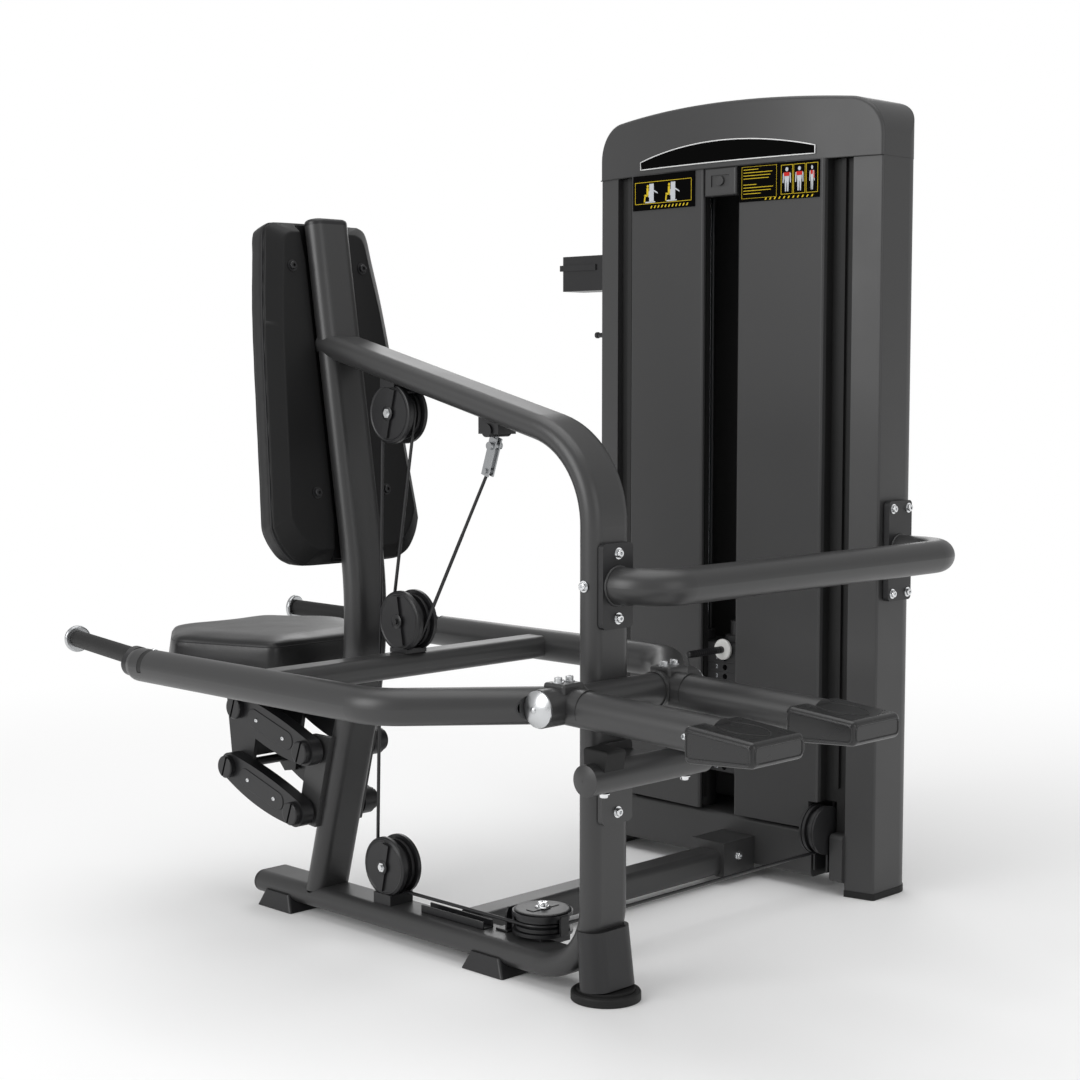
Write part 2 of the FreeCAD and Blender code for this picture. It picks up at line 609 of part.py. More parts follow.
anchor = fuse(box(-20, 20, -262, -216, ANCHOR_Z - 24, ANCHOR_Z + 12),
              cyl_x(-24, 24, ANCHOR_Y, ANCHOR_Z - 18, 11))
anchor = biggest(anchor.cut(loop))
anchor = biggest(anchor.cut(
    rod(CLAMP_TOP - CLAMP_DIR * 4.2, CLAMP_TOP + CLAMP_DIR * 14, CLAMP_PIN_R + RUN)))
save_group("frame_pulley_guards", [upper_guard, low_guard, floor_guard(), anchor])


def clamp_strap(x):
    half = Vec(1, 0, 0).cross(CLAMP_DIR).normalize() * 8
    corners = (CLAMP_TOP + half, CLAMP_END + half, CLAMP_END - half, CLAMP_TOP - half)
    return prism([(x, corner.y, corner.z) for corner in corners], (3, 0, 0))


upper_cross = CLAMP_TOP + CLAMP_DIR * 14
lower_cross = CLAMP_TOP + CLAMP_DIR * (CLAMP_LENGTH - 8)
clamp = clamp_strap(4)
for part in (clamp_strap(-7),
             cyl_x(-10, 10, upper_cross.y, upper_cross.z, 4.5),
             cyl_x(-10, 10, lower_cross.y, lower_cross.z, 4.5),
             cyl_x(-13, 13, upper_cross.y, upper_cross.z, 6.5),
             rod(CLAMP_TOP - CLAMP_DIR * 4, upper_cross, CLAMP_PIN_R)):
    clamp = clamp.fuse(part)
save("cable_clamp", clamp)


# ---------------------------------------------------------------- cables
def on_wrap(centre, angle):
    """Cable point round a pulley in the frame's plane; the angle runs from +Y towards +Z."""
    return centre + Vec(0, math.cos(angle), math.sin(angle)) * WRAP_R


def arc_cable(start, middle, end, direction):
    arc = Part.Arc(start, middle, end).toShape()
    return sweep(Part.Wire([arc]), circle(start, direction, CABLE_R))


def wrap(centre, start, end, middle_angle):
    offset = start - centre
    return arc_cable(start, on_wrap(centre, middle_angle), end, Vec(0, -offset.z, offset.y))


def halves(start, end):
    """The two half pieces of a line, with small gaps at the ends and in the middle."""
    middle = (start + end) * 0.5
    gap = (end - start).normalize() * 0.4
    return (start + gap, middle - gap), (middle + gap, end - gap)


# clamp to the +Y side of the arm pulley
clamp_cable_start = CLAMP_END - CLAMP_DIR * 8
line = ARM_PULLEY - clamp_cable_start
arm_in = on_wrap(ARM_PULLEY,
                 math.atan2(-line.z, -line.y) - math.acos(WRAP_R / line.Length))
# crossed line, from the upper pulley's +Y side to the arm pulley's -Y side
line = ARM_PULLEY - UP_PULLEY
cross_angle = math.atan2(line.z, line.y) + math.acos(2 * WRAP_R / line.Length)
upper_out = on_wrap(UP_PULLEY, cross_angle)
arm_out = on_wrap(ARM_PULLEY, cross_angle + math.pi)
# long line, on the -Y sides of the upper and low pulleys
line = LOW_PULLEY - UP_PULLEY
to_edge = Vec(0, line.z, -line.y).normalize() * WRAP_R
long_top, long_low = UP_PULLEY + to_edge, LOW_PULLEY + to_edge

# The two lines at the arm pulley are each two half pieces.
(half_start, half_end), arm_half = halves(clamp_cable_start, arm_in)
half_start = half_start + (half_end - half_start) * 0.02
save("cable_clamp_half", rod(half_start, half_end, CABLE_R).cut(clamp))
save("cable_clamp_arm_half", rod(*arm_half, CABLE_R))
upper_half, arm_half = halves(upper_out, arm_out)
save("cable_upper_half", rod(*upper_half, CABLE_R))
save("cable_upper_arm_half", rod(*arm_half, CABLE_R))
save("cable_arm_wrap", wrap(ARM_PULLEY, arm_in, arm_out, -math.pi / 2))

# The main cable: over the upper pulley, down, along the floor beam, across to the tower,
# up inside it and over the two top pulleys to the stack.
DIAGONAL = math.sin(math.pi / 4) * WRAP_R
low_out = LOW_PULLEY - Vec(0, 0, WRAP_R)
floor_in = Vec(0, FLOOR_PULLEY.y, CABLE_Z)
floor_out = FLOOR_PULLEY + Vec(0, WRAP_R, 0)
tower_in = TOWER_PULLEY - Vec(0, 0, WRAP_R)
tower_out = TOWER_PULLEY - Vec(WRAP_R, 0, 0)
outer_in = OUTER_PULLEY + Vec(0, WRAP_R, 0)
outer_out = OUTER_PULLEY + Vec(0, 0, WRAP_R)
inner_in = INNER_PULLEY + Vec(0, 0, WRAP_R)
inner_out = INNER_PULLEY - Vec(0, WRAP_R, 0)
save("cable_main", fuse(
    wrap(UP_PULLEY, on_wrap(UP_PULLEY, cross_angle + math.radians(4.6)), long_top, math.pi / 2),
    rod(long_top, long_low, CABLE_R),
    wrap(LOW_PULLEY, long_low, low_out, math.radians(225)),
    rod(low_out, floor_in, CABLE_R),
    arc_cable(floor_in, FLOOR_PULLEY + Vec(DIAGONAL, DIAGONAL, 0), floor_out, (0, 1, 0)),
    rod(floor_out, tower_in, CABLE_R),
    arc_cable(tower_in, TOWER_PULLEY - Vec(DIAGONAL, 0, DIAGONAL), tower_out, (-1, 0, 0)),
    rod(tower_out, outer_in, CABLE_R),
    arc_cable(outer_in, OUTER_PULLEY + Vec(0, DIAGONAL, DIAGONAL), outer_out, (0, 0, 1)),
    rod(outer_out, inner_in, CABLE_R),
    arc_cable(inner_in, INNER_PULLEY + Vec(0, -DIAGONAL, DIAGONAL), inner_out, (0, -1, 0))))

for name, centre, axis in (("tower_low_wheel", TOWER_PULLEY, (0, 1, 0)),
                           ("top_wheel_outer", OUTER_PULLEY, (1, 0, 0)),
                           ("top_wheel_inner", INNER_PULLEY, (1, 0, 0))):
    save(name, stand(wheel(Vec(0, 0, 0), Vec(0, 0, 1)), centre, axis))


# ---------------------------------------------------------------- weight tower: posts and caps
def front_x(distance, out=0.0):
    """X of the convex front at a distance from the tower's middle."""
    return FRONT_X + out - (FRONT_R - math.sqrt(FRONT_R ** 2 - distance * distance))


def plan_block(d0, d1, back, z, height, out=0.0):
    """Upright block with the convex front, between two distances from the tower's middle."""
    middle = (d0 + d1) / 2
    front = [Vec(front_x(d, out), TOWER_Y + d, 0) for d in (d0, middle, d1)]
    back1, back0 = Vec(back, TOWER_Y + d1, 0), Vec(back, TOWER_Y + d0, 0)
    plan = Part.Face(Part.Wire([
        Part.Arc(*front).toShape(), Part.makeLine(front[2], back1),
        Part.makeLine(back1, back0), Part.makeLine(back0, front[0])]))
    plan.translate(Vec(0, 0, z))
    return plan.extrude(Vec(0, 0, height))


def corner_test(reach, rear):
    """Test for upright edges beyond a reach from the tower's middle, at the rear or front."""
    def test(edge):
        middle = edge.CenterOfMass
        return (along_z(edge) and abs(middle.y - TOWER_Y) > reach
                and (middle.x < -850 if rear else middle.x > -800))
    return test


POST_LOW = 6.0
CAP_OUT = 1.5                  # how far a floor cap stands out round its post
posts, floor_caps = [], []
for side in (1, -1):
    post = outward(plan_block(*span(side, POST_IN, POST_OUT), TOWER_BACK,
                              POST_LOW, HEADER_LOW - POST_LOW))
    post = round_edges(post, 5.0, corner_test(POST_OUT - 1, rear=False))
    post = round_edges(post, TOWER_R, corner_test(POST_OUT - 1, rear=True))
    core = box(TOWER_BACK + 4, -776, *span(side, POST_IN + 3.5, POST_OUT - 4.5, TOWER_Y),
               30, HEADER_LOW - 4)
    core = round_edges(core, TOWER_R - 4.5, corner_test(POST_OUT - 6, rear=True))
    posts.append(post.cut(core))
    cap = outward(plan_block(*span(side, POST_IN, POST_OUT + CAP_OUT), TOWER_BACK - CAP_OUT,
                             0, 12, CAP_OUT))
    cap = round_edges(cap, 6.0, corner_test(POST_OUT, rear=False))
    cap = round_edges(cap, TOWER_R + CAP_OUT, corner_test(POST_OUT, rear=True))
    floor_caps.append(biggest(cap.cut(post)))
save_group("tower_posts", posts)

# ---------------------------------------------------------------- tower header
OUTLINE_X = -700.0             # plane in front of the tower, where outlines are drawn
HEADER_HALF = 346.8
# Right shoulder arc of the header, seen from the front: distance from the middle, z
SHOULDER = ((HEADER_HALF, 1405.4), (328.4, 1453.0), (282.8, 1476.0))


def outline_point(distance, z):
    return Vec(OUTLINE_X, TOWER_Y + distance, z)


low_a, low_b = (outline_point(side * HEADER_HALF, HEADER_LOW) for side in (-1, 1))
shoulder_a = [outline_point(-d, z) for d, z in SHOULDER]
shoulder_b = [outline_point(d, z) for d, z in reversed(SHOULDER)]
outline = Part.Face(Part.Wire([
    Part.makeLine(low_a, shoulder_a[0]),
    Part.Arc(*shoulder_a).toShape(),
    Part.Arc(shoulder_a[2], outline_point(0, HEADER_TOP), shoulder_b[0]).toShape(),
    Part.Arc(*shoulder_b).toShape(),
    Part.makeLine(shoulder_b[2], low_b),
    Part.makeLine(low_b, low_a)])).extrude(Vec(-220, 0, 0))
header = outward(plan_block(-HEADER_HALF, HEADER_HALF, TOWER_BACK - 2, HEADER_LOW, 140, 2.0))
header = round_edges(header, TOWER_R + 3.0, corner_test(346, rear=True))
header = header.common(outline)
header = round_edges(header, 7.0, lambda edge: (
    edge.BoundBox.XMin > -775 and edge.BoundBox.ZMin > HEADER_LOW + 5))
header = header.cut(
    box(TOWER_BACK + 8, -752, TOWER_Y - 285, TOWER_Y + 285, HEADER_LOW - 1, 1444))
save("tower_header", header)

# ---------------------------------------------------------------- front panels and recesses
PANEL_IN, PANEL_OUT = 43.0, 237.0          # from the tower's middle
PANEL_IN_X, PANEL_OUT_X = front_x(PANEL_IN), -732.0
PANEL_T = 12.0
cable_notch = box(-800, -690, TOWER_PULLEY.y - 21, TOWER_PULLEY.y + 21,
                  20, TOWER_PULLEY.z + 52)


def front_panel(side):
    y_in, y_out = TOWER_Y + side * PANEL_IN, TOWER_Y + side * PANEL_OUT
    panel = outward(prism(
        [(PANEL_IN_X, y_in, 121), (PANEL_OUT_X, y_out, 121),
         (PANEL_OUT_X - PANEL_T, y_out, 121), (PANEL_IN_X - PANEL_T, y_in, 121)],
        (0, 0, PANEL_TOP - 121)))
    panel = round_edges(panel, 5.0, lambda edge: along_z(edge) and edge.CenterOfMass.x > -738)
    return biggest(panel.cut(cable_notch))


def recess_strips(side):
    """Outer strip with its step and rib, and the narrow inner strip."""
    outer = box(-769, -764, *span(side, 230.0, 288.9, TOWER_Y), 115.2, PANEL_TOP)
    step = box(-765, -745, *span(side, 230.0, 236.0, TOWER_Y), 115.2, PANEL_TOP)
    rib = box(-764.5, -757, *span(side, 258, 268, TOWER_Y), 200, PANEL_TOP)
    outer = outer.fuse(step).cut(cable_notch).fuse(rib)
    inner = box(-746.5, -736.5, *span(side, PANEL_IN, 47.0, TOWER_Y), 139, PANEL_TOP)
    return [biggest(strip.cut(panels)) for strip in (outer, inner)]


panels = Part.makeCompound([front_panel(1), front_panel(-1)])
save("tower_panels", panels)
save_group("tower_recesses", recess_strips(1) + recess_strips(-1))

# ---------------------------------------------------------------- tower base and back sheet
BASE_TOP = 115.0
REAR_X = TOWER_BACK + 12.0
post_gap = (TOWER_Y - POST_IN, TOWER_Y + POST_IN)
base = box(REAR_X, -742.0, *post_gap, 25, BASE_TOP)
base = round_edges(base, 8.0, lambda edge: along_y(edge) and edge.CenterOfMass.x > -750)
base = fuse(base.cut(cable_notch), box(REAR_X - 6, REAR_X, *post_gap, 25, HEADER_LOW))
save("tower_base", base)


# ---------------------------------------------------------------- tower pulley brackets
def low_bracket():
    x, y, z = TOWER_PULLEY
    parts = []
    for side in (1, -1):
        parts.append(cylinder((x, y + side * 12.5, z), (0, side, 0), 46, 4))
        parts.append(box(-797, x, *span(side, 12.5, 16.5, y), 40, z - 10))
    parts.append(cyl_y(y - 16.5, y + 16.5, x, z, AXLE_R))
    parts.append(box(-797, -790, y - 16.5, y + 16.5, 40, 70))
    return biggest(biggest(fuse(*parts).cut(base)).cut(panels))


def top_bracket():
    """Two cheeks beside both top pulleys, their axles and a top bridge."""
    y0, y1, z = INNER_PULLEY.y, OUTER_PULLEY.y, TOP_PULLEY_Z
    parts = [box(*span(side, 13, 17, STACK_X), y0 - 26, y1 + 26, z - 24, z + 51.9)
             for side in (1, -1)]
    parts += [cyl_x(STACK_X - 17, STACK_X + 17, y, z, AXLE_R) for y in (y1, y0)]
    parts.append(box(STACK_X - 17, STACK_X + 17, y0 + 20, y1 - 20, z + 47, z + 52))
    return fuse(*parts)


save_group("tower_pulley_brackets", [low_bracket(), top_bracket()])

# ---------------------------------------------------------------- guide rods and rubber feet
BRACE_TOP = TOP_PULLEY_Z - PULLEY_R - 3.0


def rod_cylinder(z0, z1, side, r):
    """Cylinder on the axis of one guide rod."""
    return cyl_z(z0, z1, STACK_X, TOWER_Y + side * ROD_PITCH, r)


brace = box(STACK_X - 20, STACK_X + 14, *post_gap, BRACE_TOP - 13, BRACE_TOP)
for y in (TOWER_Y, TOWER_PULLEY.y):         # the cable passes down and up here
    brace = brace.cut(cyl_z(BRACE_TOP - 20, BRACE_TOP + 8, STACK_X, y, 10))
save("guide_rods", fuse(rod_cylinder(BASE_TOP, BRACE_TOP, 1, ROD_R),
                        rod_cylinder(BASE_TOP, BRACE_TOP, -1, ROD_R), biggest(brace)))
stack_buffers = [rod_cylinder(BASE_TOP, STACK_Z - 0.2, side, 24).cut(
    rod_cylinder(BASE_TOP - 5, STACK_Z, side, ROD_R)) for side in (1, -1)]
save_group("rubber_feet", [floor_disc] + floor_caps + stack_buffers)

# ---------------------------------------------------------------- weight stack
STACK_BACK, STACK_FRONT = -828.0, -748.0
HEAD_Z = STACK_Z + N_PLATES * PLATE_PITCH
PIN_Z = HEAD_Z + 9.0
PIN_R = 5.0
STEM_TOP = HEAD_Z + 62


def stack_block(z, height):
    block = box(STACK_BACK, STACK_FRONT, TOWER_Y - 132, TOWER_Y + 132, z, z + height)
    return round_edges(block, 6.0, along_z)


def weight_plate(z):
    """Plate bored for both guide rods and the stem, with a pin hole in its front."""
    plate = stack_block(z, PLATE_T)
    for side in (1, -1, 0):
        plate = plate.cut(rod_cylinder(z - 1, z + 19, side, 13.2))
    return plate.cut(cyl_x(-772, STACK_FRONT + 1, TOWER_Y, z + PLATE_T / 2, 5.6))


save_group("weight_plates", [weight_plate(STACK_Z + k * PLATE_PITCH) for k in range(N_PLATES)])

head = fuse(stack_block(HEAD_Z, 20),
            rod_cylinder(HEAD_Z + 19, HEAD_Z + 38, -1, 20),
            rod_cylinder(HEAD_Z + 19, HEAD_Z + 38, 1, 20),
            cyl_z(HEAD_Z + 19, HEAD_Z + 34, STACK_X, TOWER_Y, 22))
for side in (1, -1):
    head = head.cut(rod_cylinder(HEAD_Z - 1, HEAD_Z + 40, side, 12.58))
head = fuse(head, cyl_z(STACK_Z + 2, STEM_TOP, STACK_X, TOWER_Y, 12.0))
head = head.cut(cyl_x(STACK_X - 4, STACK_FRONT + 1, TOWER_Y, PIN_Z, PIN_R + RUN))
save("head_plate", head)


def pin_part(x0, x1, r):
    return cyl_x(x0, STACK_FRONT + x1, TOWER_Y, PIN_Z, r)


save("selector_pin", fuse(
    pin_part(STACK_X - 2, 14, PIN_R),
    round_edges(pin_part(STACK_FRONT + 2, 10, 20.5), 2.5, long_closed),
    round_edges(pin_part(STACK_FRONT + 10, 112, 7.0), 2.0,
                lambda edge: edge.Closed and edge.BoundBox.XMin > STACK_FRONT + 100)))
save("stack_cable", cyl_z(STEM_TOP + 0.2, TOP_PULLEY_Z - 0.2, STACK_X, TOWER_Y, CABLE_R))

# ---------------------------------------------------------------- emblem field and placards
EMBLEM_HALF = 214.0
emblem_low = [outline_point(side * EMBLEM_HALF, 1377) for side in (-1, 1)]
emblem_top = [outline_point(-EMBLEM_HALF, 1392), outline_point(0, 1417),
              outline_point(EMBLEM_HALF, 1392)]
emblem_outline = Part.Face(Part.Wire([
    Part.makeLine(*emblem_low), Part.makeLine(emblem_low[1], emblem_top[2]),
    Part.Arc(*reversed(emblem_top)).toShape(),
    Part.makeLine(emblem_top[0], emblem_low[0])])).extrude(Vec(-60, 0, 0))
emblem = plan_block(-230.0, 230.0, -760.0, HEADER_LOW, 80, 3.6).common(emblem_outline)
emblem = biggest(emblem.cut(header).cut(box(-900, -752, -1000, 1000, 1300, 1500)))


def panel_face_x(y):
    share = (abs(y - TOWER_Y) - PANEL_IN) / (PANEL_OUT - PANEL_IN)
    return PANEL_IN_X + (PANEL_OUT_X - PANEL_IN_X) * share


def placard(y0, y1):
    x0, x1 = panel_face_x(y0), panel_face_x(y1)
    sheet = prism([(x0, y0, 1297), (x1, y1, 1297), (x1 + 2.0, y1, 1297), (x0 + 2.0, y0, 1297)],
                  (0, 0, 68))
    return biggest(sheet.cut(panels))


save_group("tower_signs", [emblem, placard(-604.0, -438.0), placard(-328.0, -146.0)])

# ---------------------------------------------------------------- block between the panels
block = box(-742, -721.5, TOWER_Y - 39, TOWER_Y + 39, 1313, PANEL_TOP)
block = round_edges(block, 5.0, lambda edge: edge.BoundBox.XMin > -722)
block = block.cut(box(-724, -720, TOWER_Y - 22, TOWER_Y + 22, 1330, 1352))
button = round_edges(cyl_x(-725, -719, TOWER_Y, 1341, 9), 1.5,
                     lambda edge: edge.Closed and edge.BoundBox.XMin > -720)
save("tower_block", biggest(block.fuse(button)))

# ---------------------------------------------------------------- open holder and peg, -Y side
holder_y1 = TOWER_Y - POST_OUT
holder_y0 = holder_y1 - 120
holder = box(-836, -768, holder_y0, holder_y1, 1146, 1218)
holder = round_edges(holder, 8.0, lambda edge: (
    along_z(edge) and edge.CenterOfMass.y < holder_y1 - 5))
holder = holder.cut(box(-831, -773, holder_y0 + 5, holder_y1 - 8, 1152, 1220))
band = box(-839, -765, holder_y0 - 3, holder_y1 - 20, 1188, 1200)
band = band.cut(box(-831, -773, holder_y0 + 5, holder_y1 - 8, 1140, 1230))
band = round_edges(band, 2.0, lambda edge: along_z(edge) and edge.CenterOfMass.y < holder_y0)
peg_head = round_edges(cyl_y(holder_y1 - 21, holder_y1 - 14, -770, 1054, 6.5), 1.5, closed)
peg = cyl_y(holder_y1 - 16, holder_y1, -770, 1054, 5).fuse(peg_head)
save_group("side_holder", [fuse(holder, band), peg])


# ---------------------------------------------------------------- seat bracket, links, carriage
def side_plate(side, near, far, outline):
    """Flat plate from a y, z outline, between two distances from the middle plane."""
    x0, x1 = span(side, near, far)
    return prism([(x0, y, z) for y, z in outline], (x1 - x0, 0, 0))


def link_pin(pivot):
    return cyl_x(-LINK_PIN_X, LINK_PIN_X, pivot.y, pivot.z, LINK_PIN_R)


# Bracket plate on the seat post: y, z
BRACKET_OUTLINE = [
    (-606, 338), (LINK_UP.y - 16, LINK_UP.z + 26), (LINK_UP.y - 24, LINK_UP.z),
    (LINK_LO.y - 24, LINK_LO.z), (LINK_LO.y - 16, LINK_LO.z - 24), (-650, 172)]
bracket_parts = [side_plate(side, 42.2, 54.0, BRACKET_OUTLINE) for side in (1, -1)]
bracket_parts += [link_pin(LINK_UP), link_pin(LINK_LO)]
bracket_parts += [box(-54, 54, pivot.y - 14, pivot.y + 6, pivot.z - 10, pivot.z + 10)
                  for pivot in (LINK_UP, LINK_LO)]
save("seat_bracket", biggest(fuse(*bracket_parts).cut(seat_post)))


def link_pair(start):
    """Pair of bulged bars with a slotted knob at each pivot."""
    end = start + LINK_REACH
    middle = (start + end) * 0.5
    unit = LINK_REACH * (1 / LINK_REACH.Length)
    below = Vec(0, -unit.z, unit.y)         # square to the bar, on its underside
    end_r, low_bulge, top_bulge = 25.0, 35.0, 30.0
    bars = []
    for side in (1, -1):
        x0, x1 = span(side, 60.0, 84.0)
        outer = side * 84.0

        def at(centre, offset):
            return Vec(x0, 0, 0) + centre + below * offset
        ring = [Part.Arc(at(start, end_r), at(middle, low_bulge), at(end, end_r)).toShape(),
                Part.makeLine(at(end, end_r), at(end, -end_r)),
                Part.Arc(at(end, -end_r), at(middle, -top_bulge), at(start, -end_r)).toShape(),
                Part.makeLine(at(start, -end_r), at(start, end_r))]
        bar = outward(Part.Face(Part.Wire(ring)).extrude(Vec(x1 - x0, 0, 0)))
        bar = fuse(bar, cyl_x(x0, x1, start.y, start.z, end_r),
                   cyl_x(x0, x1, end.y, end.z, end_r))
        bar = round_edges(bar, 4.0, lambda edge: abs(edge.CenterOfMass.x - outer) < 0.5)
        for pivot in (start, end):
            y, z = pivot.y, pivot.z
            knob = round_edges(
                cyl_x(*span(side, -1.0, 12.0, outer), y, z, 20.5), 3.0,
                lambda edge: edge.Closed and abs(edge.CenterOfMass.x - outer - side * 12) < 0.5)
            slot = box(*span(side, 8, 14, outer), y - 22, y + 22, z - 2.2, z + 2.2)
            slot.rotate(pivot, Vec(1, 0, 0), 70)
            bar = bar.fuse(knob).cut(slot)
            bar = bar.cut(cyl_x(*span(side, 50.0, LINK_PIN_X + 0.1), y, z, LINK_PIN_R + RUN))
        bars.append(biggest(bar.removeSplitter()))
    return bars


save_group("links_upper", link_pair(LINK_UP))
save_group("links_lower", link_pair(LINK_LO))

# Carriage side plate under the seat: y, z
CARRIAGE_OUTLINE = [
    (-915, 440), (-705, 440), (-760, 396), (SEAT_UP.y + 26, SEAT_UP.z - 10),
    (SEAT_LO.y + 26, SEAT_LO.z - 22), (SEAT_LO.y - 6, SEAT_LO.z - 28),
    (SEAT_LO.y - 26, SEAT_LO.z - 8), (-905, 380)]
save("seat_carriage", fuse(
    side_plate(1, 48.0, 56.0, CARRIAGE_OUTLINE),
    side_plate(-1, 48.0, 56.0, CARRIAGE_OUTLINE),
    link_pin(SEAT_UP),
    link_pin(SEAT_LO),
    box(-56, 56, -912, -708, 432, 440),
    round_edges(box(-120, 120, -960, -700, 440, 449.9), 4.0, along_z),
    box(-48, 48, SEAT_UP.y - 40, SEAT_UP.y - 34, SEAT_LO.z + 10, 436)))

# ---------------------------------------------------------------- seat cushion
# Plan outline: x, y
SEAT_OUTLINE = [(-128, -668), (128, -668), (200, -866), (190, -896),
                (112, -1006), (-112, -1006), (-190, -896), (-200, -866)]
seat = outward(prism([(x, y, SEAT_TOP - SEAT_T) for x, y in SEAT_OUTLINE], (0, 0, SEAT_T)))
seat = round_edges(seat, 22.0, along_z)
seat = round_edges(seat, 14.0, lambda edge: edge.BoundBox.ZMin > SEAT_TOP - 0.5)
seat = round_edges(seat, 6.0, lambda edge: edge.BoundBox.ZMax < SEAT_TOP - SEAT_T + 0.5)
save("seat_cushion", seat)

# ---------------------------------------------------------------- back pad
# Parallel to the upper part of the seat post; heights run up the post from its knee
# and depths run from the post's centre line towards the user.
PAD_OUT = Vec(0, -POST_UP.z, POST_UP.y)
PAD_LOW, PAD_HIGH = 128.0, 730.0
BOARD_BACK, CHANNEL_DEPTH = 8.0, 22.0
PAD_BACK, PAD_FRONT = 30.0, 82.0


def pad_point(x, depth, height):
    return SEAT_POST_KNEE + Vec(x, 0, 0) + POST_UP * height + PAD_OUT * depth


def edge_depth(edge):
    return (edge.CenterOfMass - SEAT_POST_KNEE).dot(PAD_OUT)


def pad(scale, depth0, depth1, low, high):
    """Waisted pad body, its widths scaled."""
    # half width, height up the post
    side_table = [(115, high), (126, high - 55), (138, high - 140), (147, high - 230),
                  (155, 400), (168, 245), (171.5, 190), (158, low + 40), (112, low)]
    edge_a = [pad_point(x * scale, depth0, height) for x, height in side_table]
    edge_b = [pad_point(-x * scale, depth0, height) for x, height in reversed(side_table)]
    curve_a, curve_b = Part.BSplineCurve(), Part.BSplineCurve()
    curve_a.interpolate(edge_a)
    curve_b.interpolate(edge_b)
    outline = Part.Wire([curve_a.toShape(), Part.makeLine(edge_a[-1], edge_b[0]),
                         curve_b.toShape(), Part.makeLine(edge_b[-1], edge_a[0])])
    return Part.Face(outline).extrude(PAD_OUT * (depth1 - depth0))


def pad_box(x0, x1, depth0, depth1, low, high):
    corners = [pad_point(x, depth0, height)
               for x, height in ((x0, low), (x1, low), (x1, high), (x0, high))]
    return prism(corners, PAD_OUT * (depth1 - depth0))


cushion = pad(0.965, PAD_BACK, PAD_FRONT, PAD_LOW, PAD_HIGH)
cushion = round_edges(cushion, 14.0, lambda edge: edge_depth(edge) > PAD_FRONT - 1)
cushion = round_edges(cushion, 8.0, lambda edge: edge_depth(edge) < PAD_BACK + 1)
save("back_cushion", cushion)

# The post stands in a channel between the board's two raised panels, against two mounts.
board = pad(0.88, BOARD_BACK, PAD_BACK, PAD_LOW + 14, PAD_HIGH - 12)
board = board.cut(pad_box(-58, 58, BOARD_BACK - 2, CHANNEL_DEPTH, 0, 900))
mounts = [pad_box(-24, 24, 17, CHANNEL_DEPTH + 1, low, low + 60) for low in (250, 560)]
save("back_board", biggest(fuse(board, *mounts).cut(seat_post)))
save_group("back_board_screws", [
    bolt(pad_point(x, BOARD_BACK, height), PAD_OUT * -1, 7.0, 4.5, 10.0)
    for height in (648, 252) for x in (-78, 78)])
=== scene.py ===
# Seated press machine with a guarded weight-stack tower.
# +z is up. The sitter faces -y with the left hand at +x. The tower stands at -x with its front
# facing +x. Sizes are design millimetres unless said otherwise; row_at() turns a design point
# into row metres, the frame in which the pieces are built.
import bpy
import bmesh
import math
from mathutils import Matrix, Vector
from mathutils.bvhtree import BVHTree


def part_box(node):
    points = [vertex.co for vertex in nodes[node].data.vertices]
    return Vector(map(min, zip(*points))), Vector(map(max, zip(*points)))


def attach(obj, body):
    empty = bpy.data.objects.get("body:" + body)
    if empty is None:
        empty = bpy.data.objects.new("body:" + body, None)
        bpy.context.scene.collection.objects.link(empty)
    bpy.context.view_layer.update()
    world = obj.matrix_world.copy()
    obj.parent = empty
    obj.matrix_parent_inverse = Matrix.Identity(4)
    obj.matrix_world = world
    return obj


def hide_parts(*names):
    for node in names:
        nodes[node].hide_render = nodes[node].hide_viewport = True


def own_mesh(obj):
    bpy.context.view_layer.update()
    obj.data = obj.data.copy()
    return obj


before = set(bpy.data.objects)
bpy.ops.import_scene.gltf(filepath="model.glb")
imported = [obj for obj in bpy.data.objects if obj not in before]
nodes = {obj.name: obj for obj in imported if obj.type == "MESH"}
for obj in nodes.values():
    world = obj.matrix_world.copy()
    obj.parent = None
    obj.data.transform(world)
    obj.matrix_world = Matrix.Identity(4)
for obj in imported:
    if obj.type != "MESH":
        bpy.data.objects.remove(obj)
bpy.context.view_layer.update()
scene = bpy.context.scene

# ------------------------------------------------------------------ shared places
ROW_OFFSET = Vector((0.26375, 0.33766, 0.0))    # design origin in the row frame, metres
SIDES = ((1, "left"), (-1, "right"))
TOWER_Y = -374                                  # centre plane of the tower
UPPER_WHEEL = (-480.0, 907.0)                   # pulley centres as (y, z)
ARM_WHEEL = (-459.0, 554.0)
LOW_WHEEL = (-502.0, 121.0)
FLOOR_WHEEL = (-41.3, -176)                     # (x, y) of the upright pulley axis
FLOOR_BEAM_TOP = 55.8


def row_at(x, y, z):
    """Design millimetres to row metres."""
    return Vector((x / 1000.0, y / 1000.0, z / 1000.0)) + ROW_OFFSET


# ------------------------------------------------------------------ material building blocks
def new_material(name, colour, inputs):
    """Material with a Principled shader; inputs maps socket names to values."""
    material = bpy.data.materials.new(name)
    material.use_nodes = True
    tree = material.node_tree
    shader = tree.nodes["Principled BSDF"]
    shader.inputs["Base Color"].default_value = (*colour, 1)
    for socket, value in inputs.items():
        shader.inputs[socket].default_value = value
    return material, tree, shader


def object_coords(tree):
    coords = tree.nodes.new("ShaderNodeTexCoord")
    mapping = tree.nodes.new("ShaderNodeMapping")
    tree.links.new(coords.outputs["Object"], mapping.inputs["Vector"])
    return mapping.outputs["Vector"]


